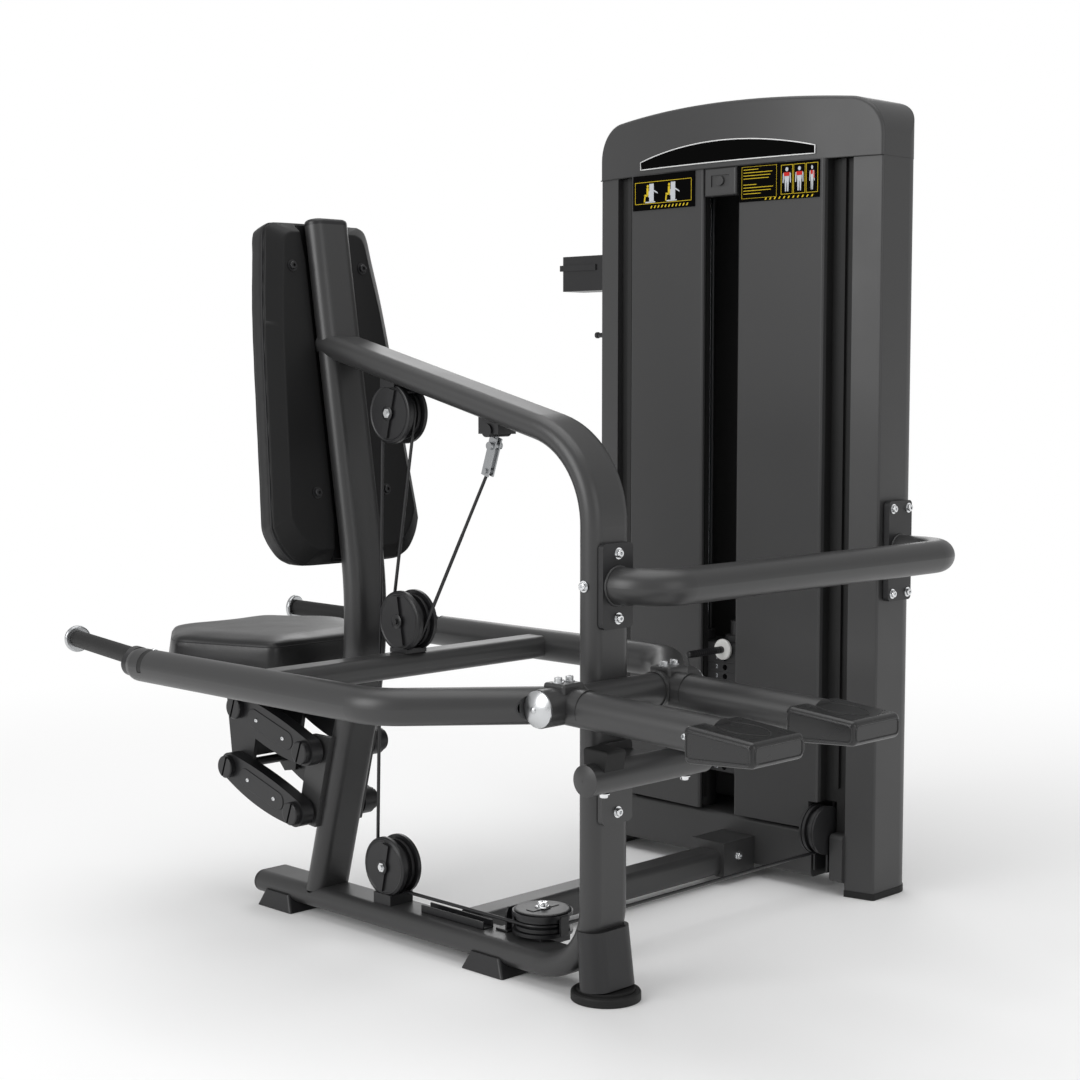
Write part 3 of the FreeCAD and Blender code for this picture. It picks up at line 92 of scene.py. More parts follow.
def noise(tree, coords, scale, detail=2.0, roughness=0.5):
    node = tree.nodes.new("ShaderNodeTexNoise")
    node.inputs["Scale"].default_value = scale
    node.inputs["Detail"].default_value = detail
    node.inputs["Roughness"].default_value = roughness
    tree.links.new(coords, node.inputs["Vector"])
    return node.outputs["Fac"]


def vary_roughness(tree, shader, coords, base, amount, scale):
    """Slow change in gloss: roughness wanders by amount either side of base."""
    factor = noise(tree, coords, scale, detail=3.0)
    remap = tree.nodes.new("ShaderNodeMapRange")
    remap.inputs["From Min"].default_value = 0.3
    remap.inputs["From Max"].default_value = 0.7
    remap.inputs["To Min"].default_value = base - amount
    remap.inputs["To Max"].default_value = base + amount
    tree.links.new(factor, remap.inputs["Value"])
    tree.links.new(remap.outputs["Result"], shader.inputs["Roughness"])


def add_bump(tree, shader, height, strength, distance):
    """Bump from a height socket; distance in metres."""
    bump = tree.nodes.new("ShaderNodeBump")
    bump.inputs["Strength"].default_value = strength
    bump.inputs["Distance"].default_value = distance
    tree.links.new(height, bump.inputs["Height"])
    tree.links.new(bump.outputs["Normal"], shader.inputs["Normal"])


def coat(name, colour, rough, grain=1500.0, bump=0.12, clear=0.0, specular=0.5):
    """Powder coat or plastic: fine grain, slow change in gloss, optional clear layer."""
    material, tree, shader = new_material(name, colour, {
        "Specular IOR Level": specular,
        "Coat Weight": clear,
        "Coat Roughness": 0.3,
    })
    coords = object_coords(tree)
    vary_roughness(tree, shader, coords, base=rough, amount=0.03, scale=9.0)
    add_bump(tree, shader, noise(tree, coords, grain), strength=bump, distance=0.0004)
    return material


def metal(name, colour, rough, brushed=False):
    material, tree, shader = new_material(name, colour, {"Metallic": 1.0})
    coords = object_coords(tree)
    vary_roughness(tree, shader, coords, base=rough, amount=0.04, scale=40.0)
    if brushed:
        height = noise(tree, coords, scale=600.0, detail=4.0)
        add_bump(tree, shader, height, strength=0.05, distance=0.0002)
    return material


def vinyl(name, colour, rough=0.44, grain=0.16, specular=0.32):
    """Upholstery vinyl: pebbled leather grain, soft sheen, faint creasing."""
    material, tree, shader = new_material(name, colour, {
        "Specular IOR Level": specular,
        "Sheen Weight": 0.03,
        "Sheen Roughness": 0.5,
    })
    coords = object_coords(tree)
    vary_roughness(tree, shader, coords, base=rough, amount=0.04, scale=14.0)
    pebbles = tree.nodes.new("ShaderNodeTexVoronoi")
    pebbles.feature = "DISTANCE_TO_EDGE"
    pebbles.inputs["Scale"].default_value = 520.0
    tree.links.new(coords, pebbles.inputs["Vector"])
    creases = noise(tree, coords, scale=60.0, detail=3.0)
    # height = pebbles * 1.4 + creases
    height = tree.nodes.new("ShaderNodeMath")
    height.operation = "MULTIPLY_ADD"
    tree.links.new(pebbles.outputs["Distance"], height.inputs[0])
    height.inputs[1].default_value = 1.4
    tree.links.new(creases, height.inputs[2])
    add_bump(tree, shader, height.outputs[0], strength=grain, distance=0.0008)
    return material


def cast_iron(name, colour):
    material, tree, shader = new_material(name, colour, {"Metallic": 0.15})
    coords = object_coords(tree)
    vary_roughness(tree, shader, coords, base=0.5, amount=0.06, scale=30.0)
    height = noise(tree, coords, scale=260.0, detail=5.0, roughness=0.6)
    add_bump(tree, shader, height, strength=0.25, distance=0.0006)
    return material


def coated_cable(name, colour):
    material, tree, shader = new_material(name, colour, {"Roughness": 0.32})
    coords = object_coords(tree)
    add_bump(tree, shader, noise(tree, coords, scale=800.0), strength=0.2, distance=0.0003)
    return material


MATERIALS = {
    "frame": coat("frame_coat_satin", (0.030, 0.030, 0.0305), rough=0.38, grain=1100.0,
                  bump=0.08, clear=0.10, specular=0.55),
    "tower": coat("tower_coat_satin", (0.036, 0.036, 0.0365), rough=0.42, grain=1000.0,
                  bump=0.08, clear=0.06),
    "panel": coat("tower_panel_satin", (0.036, 0.036, 0.0365), rough=0.46, grain=900.0,
                  bump=0.08, clear=0.04, specular=0.45),
    "black": coat("moulded_black", (0.010, 0.010, 0.011), rough=0.36),
    "black2": coat("pressed_black", (0.014, 0.014, 0.015), rough=0.42),
    # near black for dark joint lines, and painted shade: slots, louvres and the tower's
    # recesses take this colour in place of the shade inside them
    "joint_and_recess_shade": coat("joint_and_recess_shade_black", (0.006, 0.006, 0.006), rough=0.55, bump=0.08),
    "rubber": coat("rubber_black", (0.009, 0.009, 0.009), rough=0.62, grain=700.0,
                   bump=0.35, specular=0.35),
    "cable": coated_cable("cable_black", (0.012, 0.012, 0.013)),
    "chrome": metal("bolt_chrome", (0.78, 0.79, 0.80), rough=0.14),
    "satin": metal("dome_satin", (0.60, 0.61, 0.62), rough=0.30, brushed=True),
    "zinc": metal("zinc_steel", (0.40, 0.41, 0.42), rough=0.24, brushed=True),
    "alu": metal("cap_aluminium", (0.52, 0.53, 0.54), rough=0.22, brushed=True),
    "rod": metal("guide_chrome", (0.75, 0.76, 0.78), rough=0.10),
    "vinyl": vinyl("vinyl_black", (0.0065, 0.0065, 0.007)),
    "vinyl_seat": vinyl("vinyl_seat_black", (0.0085, 0.0085, 0.009), rough=0.34,
                        grain=0.10, specular=0.5),
    "welt": vinyl("welt_black", (0.008, 0.008, 0.009)),
    "board": coat("pad_board", (0.0045, 0.0045, 0.0048), rough=0.48, grain=800.0,
                  bump=0.16, specular=0.30),
    "iron": cast_iron("stack_iron", (0.026, 0.026, 0.027)),
    "white": coat("pin_white", (0.72, 0.72, 0.70), rough=0.28, bump=0.04),
    "gloss": coat("sign_gloss", (0.0015, 0.0015, 0.0015), rough=0.55, grain=2000.0,
                  bump=0.02, specular=0.02),
    "weight": coat("weight_cover_black", (0.014, 0.014, 0.0145), rough=0.27, grain=900.0,
                   bump=0.05),
    "yellow": coat("mark_yellow", (0.62, 0.45, 0.02), rough=0.6, bump=0.02, specular=0.15),
    "grey": coat("mark_grey", (0.50, 0.52, 0.55), rough=0.6, bump=0.02, specular=0.15),
    "red": coat("mark_red", (0.50, 0.02, 0.015), rough=0.6, bump=0.02, specular=0.15),
    "line": coat("trim_white", (0.72, 0.72, 0.72), rough=0.35, bump=0.02),
}

# material key: the CAD pieces it paints
PAINT = {
    "frame": ["main_frame", "seat_post", "link_beam", "guard_bar", "stop_bar", "arm_left",
              "arm_right", "arm_cross_bar", "seat_bracket"],
    "weight": ["counterweights"],
    "tower": ["tower_posts", "tower_header", "tower_base", "tower_block"],
    "panel": ["tower_panels"],
    "black": ["tube_end_caps", "frame_pulley_guards", "arm_pulley_guard", "links_upper",
              "links_lower", "side_holder", "grip_lug_left", "grip_lug_right"],
    "black2": ["frame_feet", "guard_plates", "seat_carriage", "tower_pulley_brackets",
               "upper_pulley_wheel", "arm_pulley_wheel", "low_pulley_wheel",
               "floor_pulley_wheel", "tower_low_wheel", "top_wheel_inner", "top_wheel_outer"],
    # the tower's recesses: painted shade, near black
    "joint_and_recess_shade": ["tower_recesses"],
    "rubber": ["rubber_feet", "bumpers", "grip_left", "grip_right"],
    "cable": ["cable_main", "stack_cable", "cable_clamp_half", "cable_clamp_arm_half",
              "cable_arm_wrap", "cable_upper_half", "cable_upper_arm_half"],
    "chrome": ["frame_bolts"],
    "satin": ["hub_hardware"],
    "zinc": ["cable_clamp"],
    "rod": ["guide_rods"],
    "alu": ["grip_cap_left", "grip_cap_right"],
    "board": ["back_board"],
    "iron": ["weight_plates", "head_plate"],
    "gloss": ["tower_signs"],
    "vinyl": ["seat_cushion", "back_cushion"],
    "white": ["selector_pin"],
}
for key, names in PAINT.items():
    for name in names:
        painted = nodes[name]
        if not painted.material_slots:
            painted.data.materials.append(MATERIALS[key])
        for slot in painted.material_slots:
            slot.material = MATERIALS[key]
for slot in nodes["back_board_screws"].material_slots:
    slot.material = MATERIALS["black"]


def add_bevel(target, width, segments=2, angle=40, name="bevel"):
    """Bevel on edges sharper than angle degrees; width in metres."""
    bevel = target.modifiers.new(name, "BEVEL")
    bevel.width = width
    bevel.segments = segments
    bevel.limit_method = "ANGLE"
    bevel.angle_limit = math.radians(angle)


for name in ("tower_base", "link_beam", "weight_plates", "seat_carriage", "seat_bracket",
             "tower_pulley_brackets", "guard_plates"):
    add_bevel(nodes[name], 0.0006, angle=35, name="edge")


# ------------------------------------------------------------------ mesh building blocks
def link_object(name, data):
    made = bpy.data.objects.new(name, data)
    scene.collection.objects.link(made)
    return made


def mesh_object(name, bm):
    mesh = bpy.data.meshes.new(name)
    bmesh.ops.recalc_face_normals(bm, faces=bm.faces)
    bm.to_mesh(mesh)
    bm.free()
    return link_object(name, mesh)


def piece(name, bm, material, body="frame", sharp=35, smooth=True):
    """Finished piece on a moving body; edges over sharp degrees stay hard."""
    made = mesh_object(name, bm)
    mesh = made.data
    mesh.materials.append(MATERIALS[material])
    if smooth:
        mesh.polygons.foreach_set("use_smooth", [True] * len(mesh.polygons))
        mesh.set_sharp_from_angle(angle=math.radians(sharp))
    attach(made, body)
    return made


def basis(axis):
    """Two unit vectors across an axis, and the axis itself at unit length."""
    axis = Vector(axis).normalized()
    up = Vector((0, 0, 1)) if abs(axis.z) < 0.9 else Vector((0, 1, 0))
    across = up.cross(axis).normalized()
    return across, axis.cross(across).normalized(), axis


def add_ring(bm, centre, u, v, radius, segments):
    """Circle of vertices in the u-v plane, radius in mm."""
    angles = [2 * math.pi * k / segments for k in range(segments)]
    return [bm.verts.new(centre + (u * math.cos(a) + v * math.sin(a)) * radius / 1000)
            for a in angles]


def bridge(bm, first, second, shift=0):
    """Quads between two vertex rings, the second turned by shift vertices."""
    count = len(first)
    for k in range(count):
        j = (k + 1) % count
        bm.faces.new((first[k], first[j], second[(j + shift) % count],
                      second[(k + shift) % count]))


def loft(bm, rings):
    """Solid skin over a list of vertex rings, with both ends capped."""
    for first, second in zip(rings, rings[1:]):
        bridge(bm, first, second)
    bm.faces.new(list(reversed(rings[0])))
    bm.faces.new(rings[-1])


def lathe(bm, start, axis, profile, segments=40):
    """Solid of revolution from a row point; profile is (radius, distance along axis)."""
    u, v, axis = basis(axis)
    rings = []
    for radius, distance in profile:
        centre = start + axis * distance / 1000
        if radius < 1e-6:
            rings.append([bm.verts.new(centre)])
        else:
            rings.append(add_ring(bm, centre, u, v, radius, segments))
    for first, second in zip(rings, rings[1:]):
        if len(first) > 1 and len(second) > 1:
            bridge(bm, first, second)
            continue
        for k in range(segments):
            j = (k + 1) % segments
            if len(first) == 1:
                bm.faces.new((first[0], second[k], second[j]))
            else:
                bm.faces.new((first[k], first[j], second[0]))


def tube(bm, points, radius, segments=16, closed=False):
    """Round tube along row points: a closed loop, or capped at both ends."""
    points = [Vector(point) for point in points]
    count = len(points)
    u = basis((points[1] - points[0]).normalized())[0]
    rings = []
    for i, point in enumerate(points):
        if closed:
            tangent = (points[(i + 1) % count] - points[i - 1]).normalized()
        else:
            tangent = (points[min(i + 1, count - 1)] - points[max(i - 1, 0)]).normalized()
        u = (u - tangent * u.dot(tangent)).normalized()
        v = tangent.cross(u).normalized()
        rings.append(add_ring(bm, point, u, v, radius, segments))
    if not closed:
        loft(bm, rings)
        return
    for first, second in zip(rings, rings[1:]):
        bridge(bm, first, second)
    # the frame has twisted on its way round, so join to the nearest vertex
    last, first = rings[-1], rings[0]
    shift = min(range(segments), key=lambda s: (last[0].co - first[s].co).length)
    bridge(bm, last, first, shift)


def prism(bm, points, sweep):
    """Prism from a polygon of row points and a sweep vector in metres."""
    sweep = Vector(sweep)
    near = [bm.verts.new(point) for point in points]
    far = [bm.verts.new(Vector(point) + sweep) for point in points]
    bm.faces.new(list(reversed(near)))
    bm.faces.new(far)
    bridge(bm, near, far)


def upright_box(bm, x0, x1, y0, y1, z, height):
    corners = ((x0, y0), (x1, y0), (x1, y1), (x0, y1))
    prism(bm, [row_at(x, y, z) for x, y in corners], (0, 0, height / 1000))


def tube_piece(name, points, radius, material, body="frame", segments=8,
               closed=False, sharp=60):
    bm = bmesh.new()
    tube(bm, points, radius, segments, closed)
    return piece(name, bm, material, body, sharp)


def lathe_piece(name, start, axis, profile, material, body="frame", segments=40):
    bm = bmesh.new()
    lathe(bm, start, axis, profile, segments)
    return piece(name, bm, material, body)


# ------------------------------------------------------------------ plane outlines
def resampled(points, step):
    """2-D polygon cut into edges a little over step long at most."""
    out = []
    for i, point in enumerate(points):
        start, end = Vector(point), Vector(points[(i + 1) % len(points)])
        count = max(1, int((end - start).length / step))
        for j in range(count):
            out.append(start + (end - start) * j / count)
    return out


def rounded(points, radii, segments=6):
    """2-D polygon with an arc at each corner."""
    out = []
    for i, point in enumerate(points):
        corner = Vector(point)
        before, after = Vector(points[i - 1]), Vector(points[(i + 1) % len(points)])
        u, v = (before - corner).normalized(), (after - corner).normalized()
        angle = u.angle(v)
        shortest = min((before - corner).length, (after - corner).length)
        trim = min(radii[i] / math.tan(angle / 2), 0.45 * shortest)
        radius = trim * math.tan(angle / 2)
        centre = corner + (u + v).normalized() * (radius / math.sin(angle / 2))
        start, end = corner + u * trim, corner + v * trim
        first = math.atan2(start.y - centre.y, start.x - centre.x)
        last = math.atan2(end.y - centre.y, end.x - centre.x)
        turn = (last - first + math.pi) % (2 * math.pi) - math.pi
        for k in range(segments + 1):
            a = first + turn * k / segments
            out.append(Vector((centre.x + radius * math.cos(a),
                               centre.y + radius * math.sin(a))))
    return out


def spline(points, steps=10):
    """Catmull-Rom curve through 2-D points."""
    padded = [points[0]] + points + [points[-1]]
    out = []
    for i in range(1, len(padded) - 2):
        a, b, c, d = (Vector(q) for q in padded[i - 1:i + 3])
        for k in range(steps):
            t = k / steps
            out.append(0.5 * ((2 * b) + (c - a) * t + (2 * a - 5 * b + 4 * c - d) * t * t
                              + (3 * b - a - 3 * c + d) * t ** 3))
    out.append(Vector(points[-1]))
    return out


def outward_normals(outline):
    count = len(outline)
    centre = Vector((sum(p.x for p in outline) / count, sum(p.y for p in outline) / count))
    normals = []
    for i, point in enumerate(outline):
        tangent = (outline[(i + 1) % count] - outline[i - 1]).normalized()
        normal = Vector((tangent.y, -tangent.x))
        if normal.dot(point - centre) < 0:
            normal = -normal
        normals.append(normal)
    return normals


# ------------------------------------------------------------------ upholstery
OUTLINE_STEP = 9.0
VOXEL = 0.0055     # remesh cell, metres
PIN_HEIGHT = 0.012                          # cloth below this height is held, metres
SIDE_SWELL = 5.0                            # furthest the walls may bulge
CLOTH_FRAMES = 20
EDGE = 12.0                                 # height of the rounded top edge


def evaluated_mesh(target):
    """Mesh with the modifiers applied; the modifiers are then removed."""
    depsgraph = bpy.context.evaluated_depsgraph_get()
    mesh = bpy.data.meshes.new_from_object(target.evaluated_get(depsgraph))
    target.modifiers.clear()
    return mesh


def pad_block(name, outline, thickness):
    """Plain pad body with a rounded top edge, in metres in its own plane."""
    # (offset along the outward normal, height)
    layers = [(-3.0, 0.0), (0.0, 3.0), (0.0, thickness - EDGE), (-2.0, thickness - EDGE * 0.45),
              (-6.0, thickness - EDGE * 0.12), (-11.0, thickness)]
    normals = outward_normals(outline)
    bm = bmesh.new()
    rings = []
    for offset, height in layers:
        ring = []
        for point, normal in zip(outline, normals):
            q = point + normal * offset
            ring.append(bm.verts.new((q.x / 1000, q.y / 1000, height / 1000)))
        rings.append(ring)
    loft(bm, rings)
    return mesh_object(name, bm)


def inflate(pad, rest):
    """Blow the pad up as cloth on its held underside; returns the moved points."""
    group = pad.vertex_groups.new(name="pin")
    for i, point in enumerate(rest):
        if point.z < PIN_HEIGHT:
            group.add([i], 1.0, "REPLACE")
    cloth = pad.modifiers.new("cloth", "CLOTH")
    settings = cloth.settings
    settings.quality = 5
    settings.mass = 0.3
    settings.tension_stiffness = 18
    settings.compression_stiffness = 18
    settings.shear_stiffness = 6
    settings.bending_stiffness = 0.6
    settings.use_pressure = True
    settings.uniform_pressure_force = 4.0
    settings.effector_weights.gravity = 0.0
    settings.vertex_group_mass = "pin"
    cloth.collision_settings.use_collision = False
    cloth.point_cache.frame_start = 1
    cloth.point_cache.frame_end = CLOTH_FRAMES
    for number in range(1, CLOTH_FRAMES + 1):
        scene.frame_set(number)
    moved = [vertex.co.copy() for vertex in evaluated_mesh(pad).vertices]
    scene.frame_set(1)
    return moved


def limited_swell(start, end, crown):
    """Move from start to end, held to SIDE_SWELL sideways and crown upwards."""
    move = end - start
    side = Vector((move.x, move.y, 0))
    if side.length > SIDE_SWELL / 1000:
        side = side.normalized() * (SIDE_SWELL / 1000)
    return Vector((side.x, side.y, max(-0.001, min(move.z, crown / 1000))))


def cushion(name, outline, thickness, place, body, replaced, crown, passes, material):
    """Upholstered pad. place() takes (x, y, height) in the pad's plane to the row frame;
    passes is how often the swelling is evened out. Returns a tree of the unplaced pad."""
    pad = pad_block(name, outline, thickness)
    bpy.context.view_layer.objects.active = pad
    remesh = pad.modifiers.new("remesh", "REMESH")
    remesh.mode = "VOXEL"
    remesh.voxel_size = VOXEL
    mesh = evaluated_mesh(pad)
    pad.data = mesh
    rest = [vertex.co.copy() for vertex in mesh.vertices]
    moved = inflate(pad, rest)
    swell = [limited_swell(start, end, crown) for start, end in zip(rest, moved)]

    # even the swelling out over the surface so that the edges stay crisp
    near = [[] for _ in swell]
    for edge in mesh.edges:
        a, b = edge.vertices
        near[a].append(b)
        near[b].append(a)
    for _ in range(passes):
        swell = [(move + sum((swell[j] for j in near[i]), Vector()) / len(near[i])) / 2
                 for i, move in enumerate(swell)]
    for vertex, start, move in zip(mesh.vertices, rest, swell):
        vertex.co = start + move
    mesh.update()

    smooth = pad.modifiers.new("smooth", "SMOOTH")
    smooth.factor = 0.5
    smooth.iterations = 5
    subdivision = pad.modifiers.new("sub", "SUBSURF")
    subdivision.levels = 1
    subdivision.render_levels = 1
    mesh = evaluated_mesh(pad)
    pad.data = mesh
    tree = BVHTree.FromPolygons([vertex.co.copy() for vertex in mesh.vertices],
                                [tuple(face.vertices) for face in mesh.polygons])
    for vertex in mesh.vertices:
        vertex.co = place(vertex.co.x * 1000, vertex.co.y * 1000, vertex.co.z * 1000)
    mesh.materials.clear()
    mesh.materials.append(MATERIALS[material])
    mesh.polygons.foreach_set("use_smooth", [True] * len(mesh.polygons))
    mesh.update()
    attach(pad, body)
    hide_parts(replaced)
    return tree


def seam(name, outline, tree, height, place, body, radius=1.9, sink=0.6):
    """Cord laid on the pad's own side wall at a height, sunk a little into it."""
    found = []
    for point, normal in zip(outline, outward_normals(outline)):
        far = point + normal * 40.0
        origin = Vector((far.x / 1000, far.y / 1000, height / 1000))
        hit = tree.ray_cast(origin, Vector((-normal.x, -normal.y, 0.0)), 0.2)[0]
        if hit is None:
            continue
        found.append(Vector((hit.x * 1000, hit.y * 1000)) - normal * sink)
    count = len(found)
    found = [(found[i - 1] + found[i] * 2 + found[(i + 1) % count]) / 4 for i in range(count)]
    tube_piece(name, [place(q.x, q.y, height) for q in found], radius, "welt", body,
               segments=10, closed=True)


FINE_SEAM = {"radius": 1.1, "sink": 0.3}
FINE_SEAM_DROP = 13.0       # fine seam below the CAD cushion's face

# seat pad; corners are (x, y), with the wide end towards the sitter's knees
SEAT_CORNERS = [(-128, -668), (128, -668), (200, -866), (190, -896),
                (112, -1006), (-112, -1006), (-190, -896), (-200, -866)]
seat_outline = resampled(rounded(SEAT_CORNERS, [26] * 2 + [30] * 6), OUTLINE_STEP)
seat_low, seat_top = (corner[2] * 1000 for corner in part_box("seat_cushion"))
seat_height = seat_top - seat_low


def seat_place(x, y, height):
    return row_at(x, y, seat_low + height)


seat_tree = cushion("seat_pad_soft", seat_outline, seat_height - 3.0, seat_place, "seat_body",
                    "seat_cushion", crown=6.0, passes=30, material="vinyl_seat")
seam("seat_welt_low", seat_outline, seat_tree, 6.0, seat_place, "seat_body")
seam("seat_seam_top", seat_outline, seat_tree, seat_height - FINE_SEAM_DROP, seat_place,
     "seat_body", **FINE_SEAM)

# back pad, in a plane parallel to the leaning upper seat post
POST_FOOT = Vector((0, -556.8, 522.0))
POST_UP = Vector((0, -113.2, 704.0)).normalized()
POST_FORWARD = Vector((0, -POST_UP.z, POST_UP.y))       # towards the sitter's back
PAD_FACE = 82.0             # face of the CAD pad, out from the post line
PAD_BASE = 31.0             # the upholstery starts on the rear shell's rim
PAD_BOTTOM, PAD_TOP = 128.0, 730.0                      # along the post
PAD_WIDTH_SCALE = 0.965
# (half width before scaling, distance along the post), top to bottom
PAD_SIDE = [
    (100, PAD_TOP), (114, PAD_TOP - 7), (121, PAD_TOP - 24), (126, PAD_TOP - 60),
    (138, PAD_TOP - 140), (147, PAD_TOP - 230), (155, 400), (165, 275), (171, 205),
    (169.5, PAD_BOTTOM + 62), (158, PAD_BOTTOM + 37), (138, PAD_BOTTOM + 13),
    (112, PAD_BOTTOM),
]
pad_side = spline([(width * PAD_WIDTH_SCALE, along) for width, along in PAD_SIDE])
pad_outline = resampled(pad_side + [Vector((-p.x, p.y)) for p in reversed(pad_side)],
                        OUTLINE_STEP)


def post_point(x, along, out):
    """Row point from the across, along and outward distances of the post's frame."""
    p = POST_FOOT + Vector((x, 0, 0)) + POST_UP * along + POST_FORWARD * out
    return row_at(p.x, p.y, p.z)


def pad_place(x, y, height):
    return post_point(x, y, PAD_BASE + height)


back_tree = cushion("back_pad_soft", pad_outline, PAD_FACE - PAD_BASE - 4.0, pad_place, "frame",
                    "back_cushion", crown=9.0, passes=16, material="vinyl")
seam("back_welt_rear", pad_outline, back_tree, 5.0, pad_place, "frame")
seam("back_seam_front", pad_outline, back_tree, PAD_FACE - PAD_BASE - FINE_SEAM_DROP, pad_place,
     "frame", **FINE_SEAM)

# moulded rear shell: two raised panels with bevelled rims, and a channel between them
# (inset from the pad side, inner edge |x|, distance out from the post line)
SHELL_RINGS = ((3.0, 46, 32.5), (2.2, 46, 29.0), (2.6, 46, 27.0),
               (24.0, 46.5, 9.6), (26.0, 47.5, 8.4), (29.0, 50, 8.1))
SHELL_CORNER = 6            # chamfer at the inner corners


def shell_ring(inset, inner, out, sign):
    low, high = 1 + inset * 0.95, 1 + inset * 0.8
    scale_top = PAD_TOP - high - PAD_BOTTOM - low
    ring = []
    for p in pad_side:
        along = PAD_BOTTOM + low + (p.y - PAD_BOTTOM) * scale_top / (PAD_TOP - PAD_BOTTOM)
        ring.append((sign * (p.x - inset), along))
    top, bottom = ring[0][1], ring[-1][1]
    ring.append((sign * (inner + SHELL_CORNER), bottom))
    for i in range(1, 12):
        ring.append((sign * inner, bottom + (top - bottom) * i / 12))
    ring.append((sign * (inner + SHELL_CORNER), top))
    return [post_point(x, along, out) for x, along in ring]


def shell_box(bm, half_width, out0, out1, along0, along1):
    corners = ((-half_width, along0), (half_width, along0),
               (half_width, along1), (-half_width, along1))
    prism(bm, [post_point(x, along, out0) for x, along in corners],
          POST_FORWARD * (out1 - out0) / 1000)


bm = bmesh.new()
for sign, _ in SIDES:
    loft(bm, [[bm.verts.new(point) for point in shell_ring(*ring, sign)]
              for ring in SHELL_RINGS])
shell_box(bm, 48, 22.1, 32.5, PAD_BOTTOM + 8, PAD_TOP - 6)     # floor of the channel
for along in (250, 560):                                       # raised blocks in the channel
    shell_box(bm, 24, 21.1, 23.5, along, along + 60)
shell = piece("back_shell", bm, "board", sharp=30)
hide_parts("back_board")
add_bevel(shell, 0.0008, name="edge")

# ------------------------------------------------------------------ cables
# Each lengthening run is two overlapping pieces. Run ends are (y, z).
CLAMP_END, ARM_FRONT = (-259.43354, 816.43316), (-423.25293, 533.31578)
UPPER_TANGENT, ARM_TANGENT = (-439.34046, 899.75483), (-499.65954, 561.24513)


def around_wheel(centre, start, degrees):
    """Eight (y, z) points round the wheel, after start."""
    y, z = start[0] - centre[0], start[1] - centre[1]
    radius, first = math.hypot(y, z), math.atan2(z, y)
    angles = [first + math.radians(degrees) * i / 8 for i in range(1, 9)]
    return [(centre[0] + radius * math.cos(a), centre[1] + radius * math.sin(a))
            for a in angles]


def lerp(start, end, t):
    return (start[0] + (end[0] - start[0]) * t, start[1] + (end[1] - start[1]) * t)


front_run = (CLAMP_END, ARM_FRONT)
back_run = (UPPER_TANGENT, ARM_TANGENT)
upper_wrap = list(reversed(around_wheel(UPPER_WHEEL, UPPER_TANGENT, 9.0)))
arm_wrap = around_wheel(ARM_WHEEL, ARM_TANGENT, 9.5)
# (name, run, from fraction, to fraction, radius, replaced piece, points before, points after)
CABLES = (
    ("front_up", front_run, 0.02, 0.97, 2.75, "cable_clamp_half", [], []),
    ("front_low", front_run, 0.38, 1.0, 3.0, "cable_clamp_arm_half", [], []),
    ("back_up", back_run, 0.0, 0.97, 2.75, "cable_upper_half", upper_wrap, []),
    ("back_low", back_run, 0.36, 1.0, 2.9, "cable_upper_arm_half", [], arm_wrap),
)
for name, run, first, last, radius, replaced, before, after in CABLES:
    start, end = lerp(*run, first), lerp(*run, last)
    line = before + [lerp(start, end, i / 12) for i in range(13)] + after
    cable = tube_piece("line_" + name, [row_at(0, y, z) for y, z in line], radius, "cable",
                       "cable_" + name, segments=16)
    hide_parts(replaced)

# stack cable: shortens as the plates rise
low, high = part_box("stack_cable")
x, y = (low[0] + high[0]) / 2, (low[1] + high[1]) / 2
length = high[2] - low[2]
stack_line = tube_piece("stack_line",
                        [Vector((x, y, low[2] + length * i / 30)) for i in range(31)],
                        3.0, "cable", segments=16)
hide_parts("stack_cable")
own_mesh(stack_line)

# ------------------------------------------------------------------ selector pin
PIN_DISC = [(0, 0), (18.5, 0), (20.3, 1.6), (20.5, 3.5), (20.3, 6.2), (18.6, 7.8),
            (12, 8.4), (0, 8.4)]
PIN_SHANK = [(0, 0), (4.2, 0), (5.0, 1.6), (5.0, 40.0), (0, 40.0)]
PIN_GROOVES, PIN_GROOVE_PITCH = 12, 6.4
low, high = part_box("selector_pin")
pin_x = row_at(-748, 0, 0).x
pin_y, pin_z = (low[1] + high[1]) / 2, (low[2] + high[2]) / 2


def pin_part(name, offset, profile, material, segments):
    """Turned part of the pin; offset along x in metres."""
    return lathe_piece(name, Vector((pin_x + offset, pin_y, pin_z)), (1, 0, 0), profile,
                       material, "pin_body", segments)


disc = pin_part("pin_disc", 0.0022, PIN_DISC, "white", 56)
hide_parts("selector_pin")

handle = [(0, 10.4), (6.6, 10.4), (7, 11.2)]
for i in range(PIN_GROOVES):
    x = 22 + i * PIN_GROOVE_PITCH
    handle += [(7.0, x), (6.5, x + 1.2), (6.5, x + 2.0), (7.0, x + 3.2)]
handle += [(7.0, 106), (6.2, 110.5), (4.0, 112), (0, 112)]
pin_part("pin_handle", 0.0, handle, "black", 32)
pin_part("pin_shank", -0.038, PIN_SHANK, "chrome", 28)

# lanyard hanging from the handle's end, in metres from the pin's centre line
lanyard = []
for i in range(25):
    t = i / 24
    bow = math.sin(math.pi * t)
    lanyard.append(Vector((pin_x + 0.1118 - 0.004 * t + 0.012 * bow, pin_y + 0.016 * bow,
                           pin_z - 0.006 - 0.052 * math.sin(math.pi * t * 0.5))))
tube_piece("pin_lanyard", lanyard, 1.5, "cable", "pin_body", segments=10)


# ------------------------------------------------------------------ beads round tube joints
def ring_bead(name, centre, axis, radius, bead, body="frame", material="frame"):
    """Slightly rippled bead of radius bead round a tube."""
    u, v, _ = basis(axis)
    points = []
    for i in range(72):
        a = 2 * math.pi * i / 72
        ripple = 1 + 0.006 * math.sin(18 * a)
        points.append(centre + (u * math.cos(a) + v * math.sin(a)) * radius * ripple / 1000)
    tube_piece(name, points, bead, material, body, closed=True, sharp=80)


